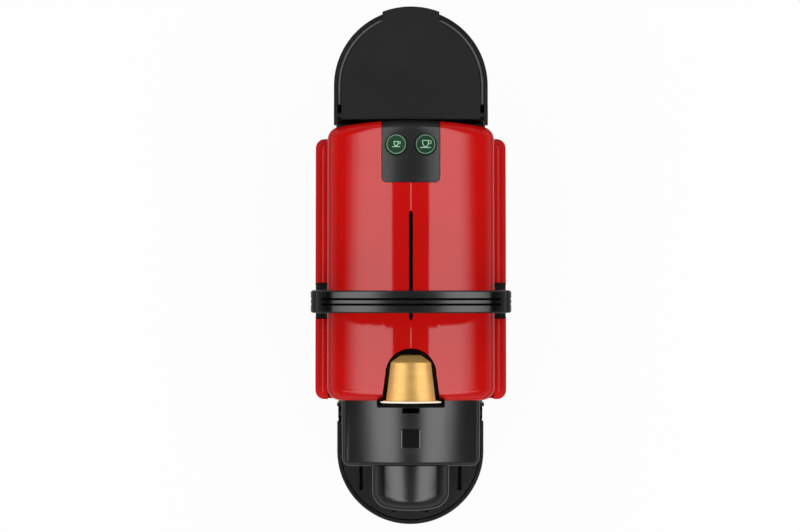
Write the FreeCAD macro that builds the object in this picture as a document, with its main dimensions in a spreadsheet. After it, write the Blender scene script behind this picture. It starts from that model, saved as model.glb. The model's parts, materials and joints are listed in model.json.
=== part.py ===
"""Pod coffee machine: a parametric assembly of separate pieces, in millimetres.

X runs to the machine's right, Y to its back and Z up. The origin is on the table, under the middle
of the machine. The lever stands open and a pod hangs in the slot, as the machine stands when it is
being loaded.
"""
import FreeCAD
import Part
import Sketcher
import os
import re

doc = FreeCAD.newDocument("PodMachine")
sheet = doc.addObject("Spreadsheet::Sheet", "Sizes")

# Driving dimensions, each set by itself.
DRIVING = (
    # fits
    ("fit_gap", 0.3),
    ("seam_gap", 0.1),
    ("running_gap", 0.06),
    ("shade_gap", 0.6),
    # side covers
    ("cover_front", 78.0),
    ("cover_rear", 82.0),
    ("cover_width", 117.0),
    ("cover_foot", 14.0),
    ("cover_wall", 2.6),
    ("cover_corner", 20.0),
    ("cover_brow", 9.0),
    ("cover_edge", 5.5),
    # core that the covers clip to
    ("core_width", 92.0),
    ("core_front", 82.0),
    ("core_wall", 2.5),
    # dome over the brew unit
    ("dome_width", 101.4),
    ("dome_top", 228.6),
    ("top_slope", 6.0),
    ("dome_arch", 130.0),
    ("dome_shoulder", 12.0),
    ("dome_end_round", 8.0),
    ("dome_wall", 3.2),
    ("dome_rear", 92.2),
    ("dome_rear_bulge", 270.0),
    ("dome_skirt", 14.0),
    ("crown_slot_width", 4.0),
    ("crown_slot_length", 66.0),
    ("crown_slot_front", 29.0),
    # lever
    ("pivot_forward", 17.6),
    ("pivot_height", 188.0),
    ("lever_width", 120.0),
    ("lever_thick", 7.4),
    ("lever_band", 16.0),
    ("lever_reach", 84.5),
    ("lever_arch", 300.0),
    ("lever_corner", 16.0),
    ("lever_groove_width", 1.6),
    ("lever_groove_deep", 1.2),
    ("lever_edge", 1.6),
    ("lever_groove_step", 1.9),
    ("lever_web", 3.0),
    ("shaft_radius", 4.0),
    ("notch_length", 22.0),
    ("notch_drop", 17.0),
    ("socket_wall", 1.0),
    # fork that drives the brew carriage
    ("fork_height", 16.0),
    ("fork_thick", 4.0),
    ("fork_inside", 27.0),
    ("fork_half", 6.6),
    ("fork_reach", 22.8),
    ("fork_pin_radius", 2.5),
    ("fork_play", 1.2),
    # pod
    ("brew_height", 196.0),
    ("pod_front", 79.6),
    ("pod_length", 29.0),
    ("pod_rim_radius", 18.5),
    ("pod_rim_thick", 1.2),
    ("pod_root_radius", 15.0),
    ("pod_shoulder_radius", 12.1),
    ("pod_end_radius", 6.5),
    ("pod_end_length", 5.4),
    # pod chute
    ("chute_wall", 1.0),
    ("chute_head_half", 20.4),
    ("chute_head_deep", 4.4),
    ("chute_throat_half", 18.2),
    ("chute_neck_half", 15.4),
    ("chute_back", 46.0),
    ("chute_lip", 3.4),
    # brew carriage and its frame
    ("cage_radius", 20.0),
    ("cage_gap", 0.5),
    ("cage_back_wall", 3.8),
    ("blade_ring", 4.6),
    ("blade_root", 1.4),
    ("blade_tip", 0.3),
    ("blade_length", 2.6),
    ("tail_radius", 7.0),
    ("tail_length", 42.0),
    ("inlet_radius", 3.5),
    ("wing_thick", 6.0),
    ("wing_start", 12.0),
    ("wing_length", 20.0),
    ("pin_land", 5.5),
    ("pin_cap", 1.5),
    ("plate_inside", 33.0),
    ("plate_thick", 3.0),
    ("plate_drop", 59.0),
    ("plate_boss", 9.0),
    ("plate_tail", 6.0),
    ("wing_drop", 24.0),
    ("cheek_inside", 18.0),
    ("cheek_thick", 5.0),
    ("rail_height", 3.0),
    ("rail_reach", 4.5),
    ("extract_thick", 2.0),
    ("extract_drop", 24.0),
    ("extract_cheek", 1.2),
    ("extract_gap", 0.4),
    ("stud_radius", 0.9),
    ("stud_pitch", 5.0),
    ("stud_row", 6.0),
    ("stud_proud", 0.3),
    ("hook_across", 8.0),
    ("hook_half", 2.0),
    ("hook_deep", 2.5),
    ("inlet_half", 11.0),
    ("inlet_lap", 4.0),
    ("inlet_bore", 1.5),
    ("mount_length", 12.0),
    ("mount_ahead", 10.0),
    ("mount_behind", 14.0),
    ("mount_rise", 2.0),
    ("mount_drop", 14.0),
    # front hood and coffee outlet
    ("hood_width", 84.8),
    ("hood_front", 119.5),
    ("hood_top", 188.2),
    ("hood_bottom", 118.0),
    ("hood_slope", 24.0),
    ("hood_arch", 105.0),
    ("hood_wall", 2.4),
    ("hood_edge", 5.0),
    ("badge_width", 10.5),
    ("badge_length", 12.7),
    ("badge_deep", 0.8),
    ("badge_rear", 96.3),
    ("vent_width", 10.4),
    ("vent_rear", 83.2),
    ("vent_length", 3.2),
    ("nose_width", 50.0),
    ("nose_front", 147.0),
    ("nose_top", 160.0),
    ("nose_bottom", 130.0),
    ("nose_corner", 9.0),
    ("nose_brow", 8.0),
    ("nose_wall", 2.2),
    ("nose_lip", 2.6),
    ("nozzle_radius", 9.0),
    ("nozzle_drop", 7.0),
    ("nozzle_bore", 3.0),
    # control panel and buttons
    ("panel_width", 35.0),
    ("panel_front", 54.6),
    ("panel_corner", 3.0),
    ("button_spacing", 17.8),
    ("button_rearward", 77.3),
    ("button_radius", 6.0),
    ("button_ring", 1.6),
    ("button_gap", 0.8),
    ("button_proud", 1.8),
    ("button_travel", 1.5),
    ("button_stem", 2.0),
    ("button_sink", 1.5),
    ("board_drop", 11.0),
    ("board_thick", 1.6),
    ("board_length", 32.3),
    ("board_ahead", 20.0),
    ("board_margin", 2.0),
    # base and feet
    ("foot_height", 3.0),
    ("foot_radius", 7.0),
    ("foot_across", 33.0),
    ("foot_ahead", 118.0),
    ("foot_behind", 112.0),
    ("base_height", 11.0),
    ("base_wall", 3.0),
    ("base_floor", 2.5),
    ("rear_wall_thick", 4.0),
    ("frame_top", 176.0),
    # water tank
    ("tank_straight", 20.5),
    ("tank_wall", 2.2),
    ("tank_height", 186.0),
    ("tank_floor", 3.0),
    ("lid_thick", 4.0),
    ("lid_inset", 4.6),
    ("lid_tab_half", 17.3),
    ("lid_tab_reach", 1.4),
    ("lid_hinge_radius", 1.6),
    ("lid_ear", 6.0),
    ("valve_radius", 7.0),
    ("valve_drop", 8.0),
    ("cord_radius", 3.5),
    ("gland_wall", 1.3),
    ("gland_proud", 1.5),
    ("lid_seat", 3.1),
    ("lid_rise", 1.4),
    ("lid_front", 0.4),
    ("lid_hinge_behind", 2.2),
    ("ear_deep", 9.0),
    ("ear_rise", 3.4),
    ("ring_step", 3.0),
    # used pod container and drip tray
    ("tray_radius", 46.8),
    ("tray_centre", 114.7),
    ("tray_height", 12.0),
    ("tray_base", 38.0),
    ("tray_wall", 2.6),
    ("tray_floor", 2.2),
    ("tray_hinge_radius", 2.5),
    ("grid_thick", 2.6),
    ("grid_rebate", 3.6),
    ("grid_slot_width", 2.8),
    ("grid_slot_pitch", 10.4),
    ("grid_slot_margin", 7.5),
    ("bin_width", 82.0),
    ("bin_rear", 8.0),
    ("bin_height", 62.0),
    ("bin_wall", 2.0),
    ("bin_rise", 2.5),
    ("lug_half", 4.0),
    ("lug_gap", 0.5),
    ("lug_room", 5.5),
    ("tray_hinge_ahead", 8.0),
    ("tray_hinge_behind", 3.5),
    ("grid_sink", 1.0),
    ("grid_slot_rear", 14.0),
    # water and power parts
    ("pump_radius", 13.0),
    ("pump_length", 62.0),
    ("coil_size", 40.0),
    ("coil_length", 42.0),
    ("pump_height", 46.0),
    ("heater_length", 62.0),
    ("heater_width", 48.0),
    ("heater_height", 34.0),
    ("heater_level", 98.0),
    ("hose_radius", 3.0),
    ("meter_radius", 13.0),
    ("meter_height", 14.0),
    ("power_board_length", 60.0),
    ("power_board_height", 60.0),
    ("post_length", 4.0),
    ("post_radius", 2.2),
    ("post_inset", 5.0),
    ("pump_gap", 8.0),
    ("shelf_thick", 3.0),
    ("saddle_thick", 5.0),
    ("saddle_side", 4.0),
    ("screw_radius", 3.2),
    ("screw_head", 1.2),
    ("screw_along", 60.0),
)
for row, (alias, number) in enumerate(DRIVING, start=1):
    sheet.set(f"A{row}", alias)
    sheet.set(f"B{row}", str(number))
    sheet.setAlias(f"B{row}", alias)
doc.recompute()

ALIASES = {alias for alias, _ in DRIVING}
nodes = []


# Helpers that bind every size and place to the sheet.

def bound(formula):
    """The formula with each driving dimension written as a reference to the sheet."""
    return re.sub(r"[a-z][a-z_]*", lambda w: "Sizes." + w[0] if w[0] in ALIASES else w[0], str(formula))


def value(formula):
    return float(sheet.evalExpression(bound(formula)))


def bind(thing, **formulas):
    for name, formula in formulas.items():
        thing.setExpression(name, bound(formula))
    return thing


def place(thing, at, turn=None):
    """Puts a thing at three formulas, turned about X, Y or Z by a formula in degrees."""
    if turn:
        axis = {"X": (1, 0, 0), "Y": (0, 1, 0), "Z": (0, 0, 1)}[turn[0]]
        thing.Placement.Rotation = FreeCAD.Rotation(FreeCAD.Vector(*axis), value(turn[1]))
        thing.setExpression("Placement.Rotation.Angle", bound(turn[1]))
    for letter, formula in zip("xyz", at):
        thing.setExpression("Placement.Base." + letter, bound(formula))
    return thing


def box(name, low, high, turn=None):
    """A block between two corners, each given as three formulas."""
    block = doc.addObject("Part::Box", name)
    spans = [f"({b}) - ({a})" for a, b in zip(low, high)]
    bind(block, Length=spans[0], Width=spans[1], Height=spans[2])
    return place(block, low, turn)


def slab(name, size, at, turn):
    """A block of a size, with its own low corner at a place, turned about that corner."""
    block = doc.addObject("Part::Box", name)
    bind(block, Length=size[0], Width=size[1], Height=size[2])
    return place(block, at, turn)


ALONG = {"X": ("Y", "90"), "Y": ("X", "-90"), "Z": None}


def rod(name, radius, length, at, along="Z", turn=None):
    """A round bar that starts at a place and runs along an axis."""
    bar = doc.addObject("Part::Cylinder", name)
    bind(bar, Radius=radius, Height=length)
    return place(bar, at, turn or ALONG[along])


def cone(name, first, second, length, at, along="Z"):
    taper = doc.addObject("Part::Cone", name)
    bind(taper, Radius1=first, Radius2=second, Height=length)
    return place(taper, at, ALONG[along])


def fuse(name, *pieces):
    joined = doc.addObject("Part::MultiFuse", name)
    joined.Shapes = list(pieces)
    joined.Refine = True
    return joined


def cut(name, base, *tools):
    removed = doc.addObject("Part::Cut", name)
    removed.Base = base
    removed.Tool = tools[0] if len(tools) == 1 else fuse(name + "_tools", *tools)
    removed.Refine = True
    return removed


def common(name, *pieces):
    shared = doc.addObject("Part::MultiCommon", name)
    shared.Shapes = list(pieces)
    shared.Refine = True
    return shared


def rounded(name, base, radius, wanted):
    """Rounds the edges of base whose middle point passes the test."""
    doc.recompute()
    size = value(radius)
    picked = [n for n, edge in enumerate(base.Shape.Edges, start=1) if wanted(edge, middle(edge))]
    if not picked:
        raise ValueError(f"{name}: no edge to round")
    fillet = doc.addObject("Part::Fillet", name)
    fillet.Base = base
    fillet.Edges = [(n, size, size) for n in picked]
    return fillet


def middle(edge):
    return edge.valueAt((edge.FirstParameter + edge.LastParameter) / 2)


def runs_along(edge, axis):
    ends = edge.Vertexes
    if len(ends) < 2:
        return False
    step = ends[1].Point - ends[0].Point
    return step.Length > 0 and abs(step[axis]) > 0.999 * step.Length


def near(a, b, room=0.05):
    return abs(a - b) < room


def mirrored(name, source):
    copy = doc.addObject("Part::Mirroring", name)
    copy.Source = source
    copy.Base = FreeCAD.Vector(0, 0, 0)
    copy.Normal = FreeCAD.Vector(1, 0, 0)
    return copy


def plane(body, role):
    return next(f for f in body.Origin.OriginFeatures if f.Role == role)


def sketch_on(body, name, role, offset="0"):
    drawing = body.newObject("Sketcher::SketchObject", name)
    drawing.AttachmentSupport = (plane(body, role), [""])
    drawing.MapMode = "FlatFace"
    drawing.setExpression("AttachmentOffset.Base.z", bound(offset))
    return drawing


def outline(drawing, points):
    """A closed outline of straight sides, each corner held to the sketch origin by two sizes."""
    corners = [FreeCAD.Vector(value(x), value(y), 0) for x, y in points]
    for n, corner in enumerate(corners):
        drawing.addGeometry(Part.LineSegment(corner, corners[(n + 1) % len(corners)]), False)
    for n in range(len(corners)):
        drawing.addConstraint(Sketcher.Constraint("Coincident", n, 2, (n + 1) % len(corners), 1))
    for n, (x, y) in enumerate(points):
        for kind, formula, number in (("DistanceX", x, corners[n].x), ("DistanceY", y, corners[n].y)):
            index = drawing.addConstraint(Sketcher.Constraint(kind, -1, 1, n, 1, number))
            drawing.renameConstraint(index, f"{kind}{n}")
            drawing.setExpression(f"Constraints.{kind}{n}", bound(formula))
    return drawing


def pad(body, drawing, length, name, back=False):
    feature = body.newObject("PartDesign::Pad", name)
    feature.Profile = drawing
    feature.Reversed = back
    bind(feature, Length=length)
    doc.recompute()
    return feature


def pocket(body, drawing, length, name, back=False):
    before = body.Shape.Volume
    feature = body.newObject("PartDesign::Pocket", name)
    feature.Profile = drawing
    feature.Reversed = back
    bind(feature, Length=length)
    doc.recompute()
    if not body.Shape.Volume < before - 1e-6:
        raise ValueError(f"{name} cut nothing")
    return feature


def soften(body, radius, wanted, name):
    """A PartDesign fillet on the edges of the body's present shape that pass the test."""
    base = body.Tip
    picked = [f"Edge{n}" for n, edge in enumerate(base.Shape.Edges, start=1) if wanted(edge, middle(edge))]
    if not picked:
        raise ValueError(f"{name}: no edge to round")
    feature = body.newObject("PartDesign::Fillet", name)
    feature.Base = (base, picked)
    bind(feature, Radius=radius)
    doc.recompute()
    return feature


def node(label, thing):
    """Names a finished piece and puts it on the list of pieces to write."""
    thing.Label = label
    nodes.append(thing)
    return thing


# Formulas that several pieces share.

CORE = "core_width / 2"
LEDGE = "(pivot_height - lever_band / 2 - fit_gap)"
PIVOT = "-pivot_forward"
SWING = "(90 - top_slope)"
TRAVEL = "(2 * fork_height * tan((90 - top_slope) / 2))"
BASE_TOP = "(foot_height + base_height)"
PANEL_REAR = "(dome_rear + 2)"
WALL_REAR = "(dome_rear - fit_gap)"
TANK_FRONT = "(dome_rear + shade_gap)"
TANK_CENTRE = "(dome_rear + shade_gap + tank_straight)"
TANK_TOP = "(foot_height + base_height + tank_height)"
LONG = "60"


def ledge_at(y):
    """Height of the side covers' sloping ledge at a depth."""
    return f"({LEDGE} - (({y}) + pivot_forward) * tan(top_slope))"


def crest_at(y):
    """Height of the dome's crest line at a depth."""
    return f"(dome_top - (({y}) + cover_front) * tan(top_slope))"


def both_sides(low, high):
    """A span of X on the right, and its mirror on the left."""
    return enumerate(((f"({low})", f"({high})"), (f"-({high})", f"-({low})")))


# Side covers: one glossy shell a side, with a turned-in front, back and ledge.

def side_cover():
    inner, outer = f"({CORE} + fit_gap)", "(cover_width / 2)"
    body = doc.addObject("PartDesign::Body", "side_cover")

    def side_view(inset):
        front, rear = f"-cover_front + {inset}", f"cover_rear - {inset}"
        foot = f"cover_foot + {inset}"
        return [(front, foot), (rear, foot), (rear, f"{ledge_at(rear)} - {inset}"),
                (front, f"{ledge_at(front)} - {inset}")]

    def inside_view():
        low, high = "(cover_corner - cover_wall) * 0.62", "(cover_brow - cover_wall) * 0.62"
        corners = side_view("cover_wall")
        cuts = (low, low, high, high)
        steps = (((0, 1), (1, 0)), ((-1, 0), (0, 1)), ((0, -1), (-1, 0)), ((1, 0), (0, -1)))
        return [(f"{y} + {sy} * {size}", f"{z} + {sz} * {size}")
                for (y, z), size, pair in zip(corners, cuts, steps) for sy, sz in pair]

    pad(body, outline(sketch_on(body, "cover_side", "YZ_Plane", inner), side_view("0")),
        f"{outer} - {inner}", "cover_block")
    soften(body, "cover_corner", lambda e, m: runs_along(e, 0) and m.z < value("cover_foot + 1"),
           "cover_feet")
    brow_low = value("cover_foot + cover_corner * 2")
    soften(body, "cover_brow", lambda e, m: runs_along(e, 0) and m.z > brow_low, "cover_brows")
    soften(body, "cover_edge", lambda e, m: near(m.x, value(outer)) and all(
        near(v.X, value(outer)) for v in e.Vertexes), "cover_edges")
    hollow = outline(sketch_on(body, "cover_hollow", "YZ_Plane", inner), inside_view())
    pocket(body, hollow, f"{outer} - {inner} - cover_wall", "cover_inside", back=True)
    notch_in, notch_out = "dome_width / 2 + fit_gap", "cover_width"
    notch_front, notch_rear = f"{PIVOT} - notch_length / 2", f"{PIVOT} + notch_length / 2"
    notch = outline(sketch_on(body, "cover_notch", "XY_Plane", f"{ledge_at(PIVOT)} + lever_band"), [
        (notch_in, notch_front), (notch_out, notch_front), (notch_out, notch_rear), (notch_in, notch_rear)])
    pocket(body, notch, "notch_drop + lever_band", "cover_lever_notch")
    low = f"{ledge_at('dome_rear')} - dome_skirt - fit_gap"
    step = outline(sketch_on(body, "cover_dome_step", "YZ_Plane", inner), [
        ("-cover_front - 5", low), ("cover_rear + 5", low), ("cover_rear + 5", "dome_top"),
        ("-cover_front - 5", "dome_top")])
    pocket(body, step, f"dome_width / 2 + seam_gap - {inner}", "cover_dome_room", back=True)
    return body


right_cover = node("right_side_cover", side_cover())
node("left_side_cover", mirrored("left_cover", right_cover))


# Lever sockets: black cups that line the notches under the lever's arms.

def lever_socket():
    low = f"{ledge_at(PIVOT)} - notch_drop"
    front, rear = f"{PIVOT} - notch_length / 2 + fit_gap", f"{PIVOT} + notch_length / 2 - fit_gap"
    inside, outside = "dome_width / 2 + fit_gap * 2", "cover_width / 2"
    top = f"{ledge_at(PIVOT)} - cover_wall"
    cup = box("socket_cup", (inside, front, f"{low} + fit_gap"), (outside, rear, top))
    floor = f"{low} + fit_gap + socket_wall"
    well = box("socket_well", (f"{inside} + socket_wall", f"{front} + socket_wall", floor),
               (f"{outside} + 1", f"{rear} - socket_wall", f"{top} + 1"))
    bore = rod("socket_bore", "shaft_radius + fit_gap", "lever_thick",
               (f"{inside} - 1", PIVOT, "pivot_height"), "X")
    return cut("lever_socket", cup, well, bore)


right_socket = node("right_lever_socket", lever_socket())
node("left_lever_socket", mirrored("left_socket", right_socket))


# Dome over the brew unit: an arched, sloping cover with rounded shoulders and ends.

def dome_block(name, inset, front, bottom, ends):
    """The dome's outer form, drawn in by an inset, from a front plane and a bottom height."""
    half = f"dome_width / 2 - {inset}"
    rear = f"dome_rear - {inset}"
    block = box(name + "_block", (f"-({half})", front, bottom), (half, rear, "dome_top + 10"))
    axis_z = f"dome_top - dome_arch / cos(top_slope) + {LONG} * sin(top_slope)"
    arch = rod(name + "_arch", f"dome_arch - {inset}", f"dome_rear + cover_front + 2 * {LONG}",
               ("0", f"-cover_front - {LONG} * cos(top_slope)", axis_z), turn=("X", "-(90 + top_slope)"))
    bulge = rod(name + "_bulge", f"dome_rear_bulge - {inset}", "dome_top + 20",
                ("0", "dome_rear - dome_rear_bulge", "0"))
    form = common(name + "_form", block, arch, bulge)
    top = value(bottom) + 1
    shoulder = rounded(name + "_shoulders", form, f"dome_shoulder - {inset}",
                       lambda e, m: near(abs(m.x), value(half)) and m.z > top and
                       abs(e.Vertexes[0].Y - e.Vertexes[-1].Y) > 50)
    start = value(front)
    return rounded(name, shoulder, ends, lambda e, m: m.z > top and not near(m.z, value(bottom)) and (
        all(near(v.Y, start) for v in e.Vertexes) and near(m.y, start) and not runs_along(e, 2) or
        all(v.Y > value("cover_rear - 8") for v in e.Vertexes) and not runs_along(e, 2)))


DOME_BOTTOM = f"({ledge_at('dome_rear')} - dome_skirt)"
DOME_FRONT = "(-cover_front + fit_gap)"
dome_outer = dome_block("dome_outer", "0", DOME_FRONT, DOME_BOTTOM, "dome_end_round")
dome_inner = dome_block("dome_inner", "dome_wall", f"{DOME_FRONT} + dome_wall", f"{DOME_BOTTOM} - 1",
                        "dome_end_round - dome_wall")


def crown_slot():
    """The long slot on the dome's centre line, with round ends."""
    half = "crown_slot_width / 2"
    front, rear = "-crown_slot_front", "crown_slot_length - crown_slot_front"
    bar = box("slot_bar", (f"-{half}", f"{front} + {half}", "dome_top / 2"),
              (half, f"{rear} - {half}", "dome_top + 9"))
    ends = [rod(f"slot_end_{n}", half, "dome_top", ("0", y, "dome_top / 2"))
            for n, y in enumerate((f"{front} + {half}", f"{rear} - {half}"))]
    return fuse("crown_slot", bar, *ends)


def panel_prism(name, grow):
    """The upright prism that parts the control panel from the dome, grown by a gap."""
    half = f"panel_width / 2 + {grow}"
    prism = box(name + "_block", (f"-({half})", f"panel_front - ({grow})", "dome_top / 2"),
                (half, f"{PANEL_REAR} + 6", "dome_top + 8"))
    front = value(f"panel_front - ({grow})")
    return rounded(name, prism, f"panel_corner + {grow}", lambda e, m: runs_along(e, 2) and near(m.y, front))


# Pod chute: the black lining of the pod slot, T-shaped in plan for the pod's rim.

def chute_plan(name, grow, bottom, top):
    """The slot's plan as an upright prism: a tapered throat with a round back, and a wide rim slot."""
    body = doc.addObject("PartDesign::Body", name + "_throat")
    back = "chute_back + chute_neck_half"
    throat = outline(sketch_on(body, name + "_plan", "XY_Plane", bottom), [
        (f"-(chute_throat_half + {grow})", f"-cover_front - chute_lip - ({grow})"),
        (f"chute_throat_half + {grow}", f"-cover_front - chute_lip - ({grow})"),
        (f"chute_neck_half + {grow}", f"-({back})"), (f"-(chute_neck_half + {grow})", f"-({back})")])
    pad(body, throat, f"({top}) - ({bottom})", name + "_throat_pad")
    bow = rod(name + "_bow", f"chute_neck_half + {grow}", f"({top}) - ({bottom})",
              ("0", f"-({back})", bottom))
    front = "-cover_front - chute_lip"
    head = box(name + "_head", (f"-(chute_head_half + {grow})", f"{front} - ({grow})", bottom),
               (f"chute_head_half + {grow}", f"{front} + chute_head_deep + {grow}", top))
    return fuse(name, body, bow, head)


CHUTE_BOTTOM = "(brew_height + cage_radius + cage_gap)"
chute_envelope = dome_block("chute_envelope", "fit_gap", "-cover_front - chute_lip", DOME_BOTTOM,
                            "dome_end_round")
chute_outer = chute_plan("chute_outer", "0", CHUTE_BOTTOM, "dome_top + 5")
chute_inner = chute_plan("chute_inner", "-chute_wall", f"{CHUTE_BOTTOM} - 1", "dome_top + 6")
node("pod_chute", cut("pod_chute_part", common("chute_form", chute_outer, chute_envelope), chute_inner))

shaft_clear = rod("dome_shaft_hole", "shaft_radius + fit_gap * 2", "cover_width",
                  ("-cover_width / 2", PIVOT, "pivot_height"), "X")
WINDOW_HALF = "(cage_radius + cage_gap)"
brew_window = box("brew_window", (f"-{WINDOW_HALF}", "-cover_front - 1", "dome_top / 2"),
                  (WINDOW_HALF, "-cover_front + dome_wall + 1", CHUTE_BOTTOM))
dome_shell = cut("dome_shell", dome_outer, dome_inner)
node("top_cover", cut("top_cover_part", dome_shell, crown_slot(), panel_prism("panel_gap", "fit_gap"),
                      chute_outer, shaft_clear, brew_window))


# Control panel, its two sprung buttons and the board under them.

def button_place(side, drop):
    """The middle of a button's top plane, and points below it along the panel's normal."""
    rise = f"({crest_at('button_rearward')} - (button_spacing / 2) ^ 2 / (2 * dome_arch))"
    return (f"{side} * button_spacing / 2", f"button_rearward - ({drop}) * sin(top_slope)",
            f"{rise} - ({drop}) * cos(top_slope)")


NORMAL = ("X", "180 - top_slope")


def button_well(name, side, radius):
    return rod(name, radius, "dome_wall + button_proud + 8", button_place(side, "-(button_proud + 2)"),
               turn=NORMAL)


panel_skin = common("panel_skin", cut("panel_shell", dome_outer, dome_inner), panel_prism("panel_cut", "0"))
wells = [button_well(f"button_well_{n}", side, "button_radius + button_gap")
         for n, side in enumerate((-1, 1))]
node("control_panel", cut("control_panel_part", panel_skin, *wells))

for label, side in (("espresso_button", -1), ("lungo_button", 1)):
    cap = rod(label + "_cap", "button_radius", "button_proud + dome_wall",
              button_place(side, "-button_proud"), turn=NORMAL)
    collar = rod(label + "_collar", "button_radius + button_ring", "button_ring",
                 button_place(side, "dome_wall + button_sink"), turn=NORMAL)
    stem = rod(label + "_stem", "button_stem", "board_drop - dome_wall - button_travel * 2 - fit_gap",
               button_place(side, "dome_wall - 0.5"), turn=NORMAL)
    neck = rod(label + "_neck", "button_radius - button_ring", "dome_wall",
               button_place(side, "dome_wall - 1"), turn=NORMAL)
    node(label, fuse(label + "_part", cap, collar, stem, neck))

BOARD_HALF = "(panel_width / 2 - board_margin)"
board = slab("board_plate", (f"2 * {BOARD_HALF}", "board_length", "board_thick"),
             (f"-{BOARD_HALF}", "button_rearward - board_ahead - board_drop * sin(top_slope)",
              f"{crest_at('button_rearward - board_ahead')} - board_drop / cos(top_slope) - board_thick"),
             ("X", "-top_slope"))
node("control_board", board)
switches = []
ARCH_DROP = "((button_spacing / 2) ^ 2 / (2 * dome_arch))"
for n, side in enumerate((-1, 1)):
    depth = f"board_drop - button_travel - running_gap - {ARCH_DROP}"
    switches.append(rod(f"switch_{n}", "button_stem * 1.6", "button_travel", button_place(side, depth),
                        turn=NORMAL))
switch_pair = doc.addObject("Part::Compound", "switch_pair")
switch_pair.Links = switches
node("button_switches", switch_pair)


# Lever: an arched bail on two stub shafts, standing upright when open.

def bail_form(name, inset, half_band, across="0"):
    """The bail's front view, drawn in by an inset, over a band of depth about an offset."""
    half = f"lever_width / 2 - {inset}"
    block = box(name + "_block", (f"-({half})", f"{PIVOT} + {across} - {half_band}", "pivot_height"),
                (half, f"{PIVOT} + {across} + {half_band}", "pivot_height + lever_reach"))
    arch = rod(name + "_arch", f"lever_arch - {inset}", f"2 * ({half_band})",
               ("0", f"{PIVOT} + {across} - {half_band}", "pivot_height + lever_reach - lever_arch"), "Y")
    form = common(name + "_form", block, arch)
    low = value("pivot_height + lever_reach / 2")
    return rounded(name, form, f"lever_corner - {inset}", lambda e, m: runs_along(e, 1) and m.z > low)


def lever_bail():
    solid = rounded("bail_soft", bail_form("bail_outer", "0", "lever_band / 2"), "lever_edge",
                    lambda e, m: near(abs(m.y - value(PIVOT)), value("lever_band / 2")) and
                    m.z > value("pivot_height + 1"))
    inside = bail_form("bail_inner", "lever_thick", "lever_band")
    hubs = [rod(f"bail_hub_{n}", "lever_band / 2", "lever_thick", (x, PIVOT, "pivot_height"), "X")
            for n, x in enumerate(("lever_width / 2 - lever_thick", "-lever_width / 2"))]
    strap = fuse("bail_strap", cut("bail_hoop", solid, inside), *hubs)
    tools = []
    for n, across in enumerate(("-lever_groove_step", "lever_groove_step")):
        skin = bail_form(f"groove_{n}_skin", "-1", "lever_groove_width / 2", across)
        core = bail_form(f"groove_{n}_core", "lever_groove_deep", "lever_groove_width / 2", across)
        tools.append(cut(f"groove_{n}", skin, core))
    bore = rod("bail_bore", "shaft_radius + running_gap", "lever_width - 2 * lever_web",
               ("-(lever_width / 2 - lever_web)", PIVOT, "pivot_height"), "X")
    return cut("lever_bail", strap, *tools, bore)


node("lever_handle", lever_bail())


def lever_shaft():
    """A stub shaft with the fork arm that drives the carriage."""
    lean = f"{SWING} / 2"
    shaft = rod("shaft_bar", "shaft_radius", "lever_width / 2 - lever_web - fork_inside",
                ("fork_inside", PIVOT, "pivot_height"), "X")
    hub = rod("fork_hub", "fork_half", "fork_thick", ("fork_inside", PIVOT, "pivot_height"), "X")

    def leaning(name, inside, half, low, high, thick):
        at = (inside, f"{PIVOT} + ({low}) * sin({lean}) - ({half}) * cos({lean})",
              f"pivot_height + ({low}) * cos({lean}) + ({half}) * sin({lean})")
        return slab(name, (thick, f"2 * ({half})", f"({high}) - ({low})"), at, ("X", f"-{lean}"))

    arm = leaning("fork_arm", "fork_inside", "fork_half", "0", "fork_reach", "fork_thick")
    slot = leaning("fork_slot", "fork_inside - 1", "fork_pin_radius + fork_play",
                   "fork_height - fork_pin_radius - fork_play", "fork_reach + 1", "fork_thick + 2")
    return cut("lever_shaft", fuse("shaft_and_fork", shaft, hub, arm), slot)


right_shaft = node("right_lever_shaft", lever_shaft())
node("left_lever_shaft", mirrored("left_shaft", right_shaft))


# Pod hanging in the slot: rim, tapered cup and shoulder.

POD_BACK = "(pod_front - pod_length)"
pod_rim = rod("pod_rim", "pod_rim_radius", "pod_rim_thick", ("0", "-pod_front", "brew_height"), "Y")
pod_cup = cone("pod_cup", "pod_root_radius", "pod_shoulder_radius",
               "pod_length - pod_rim_thick - pod_end_length",
               ("0", "-pod_front + pod_rim_thick", "brew_height"), "Y")
pod_end = cone("pod_end", "pod_shoulder_radius", "pod_end_radius", "pod_end_length",
               ("0", f"-{POD_BACK} - pod_end_length", "brew_height"), "Y")
node("pod", fuse("pod_part", pod_rim, pod_cup, pod_end))


# Brew carriage: the cage that closes on the pod, with cheeks, pins, wings and a tail tube.

CAGE_SHUT = "(-pod_front + pod_rim_thick + fit_gap)"
CAGE_FRONT = f"({CAGE_SHUT} + {TRAVEL})"
CAVITY = "(pod_length - pod_rim_thick - fit_gap + blade_length + cage_gap * 2)"
CAGE_REAR = f"({CAGE_FRONT} + {CAVITY} + cage_back_wall)"
PIN_Y = f"({PIVOT} + fork_height * tan({SWING} / 2))"
PIN_Z = "(pivot_height + fork_height)"
WING_Z = "(brew_height - wing_drop)"


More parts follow.
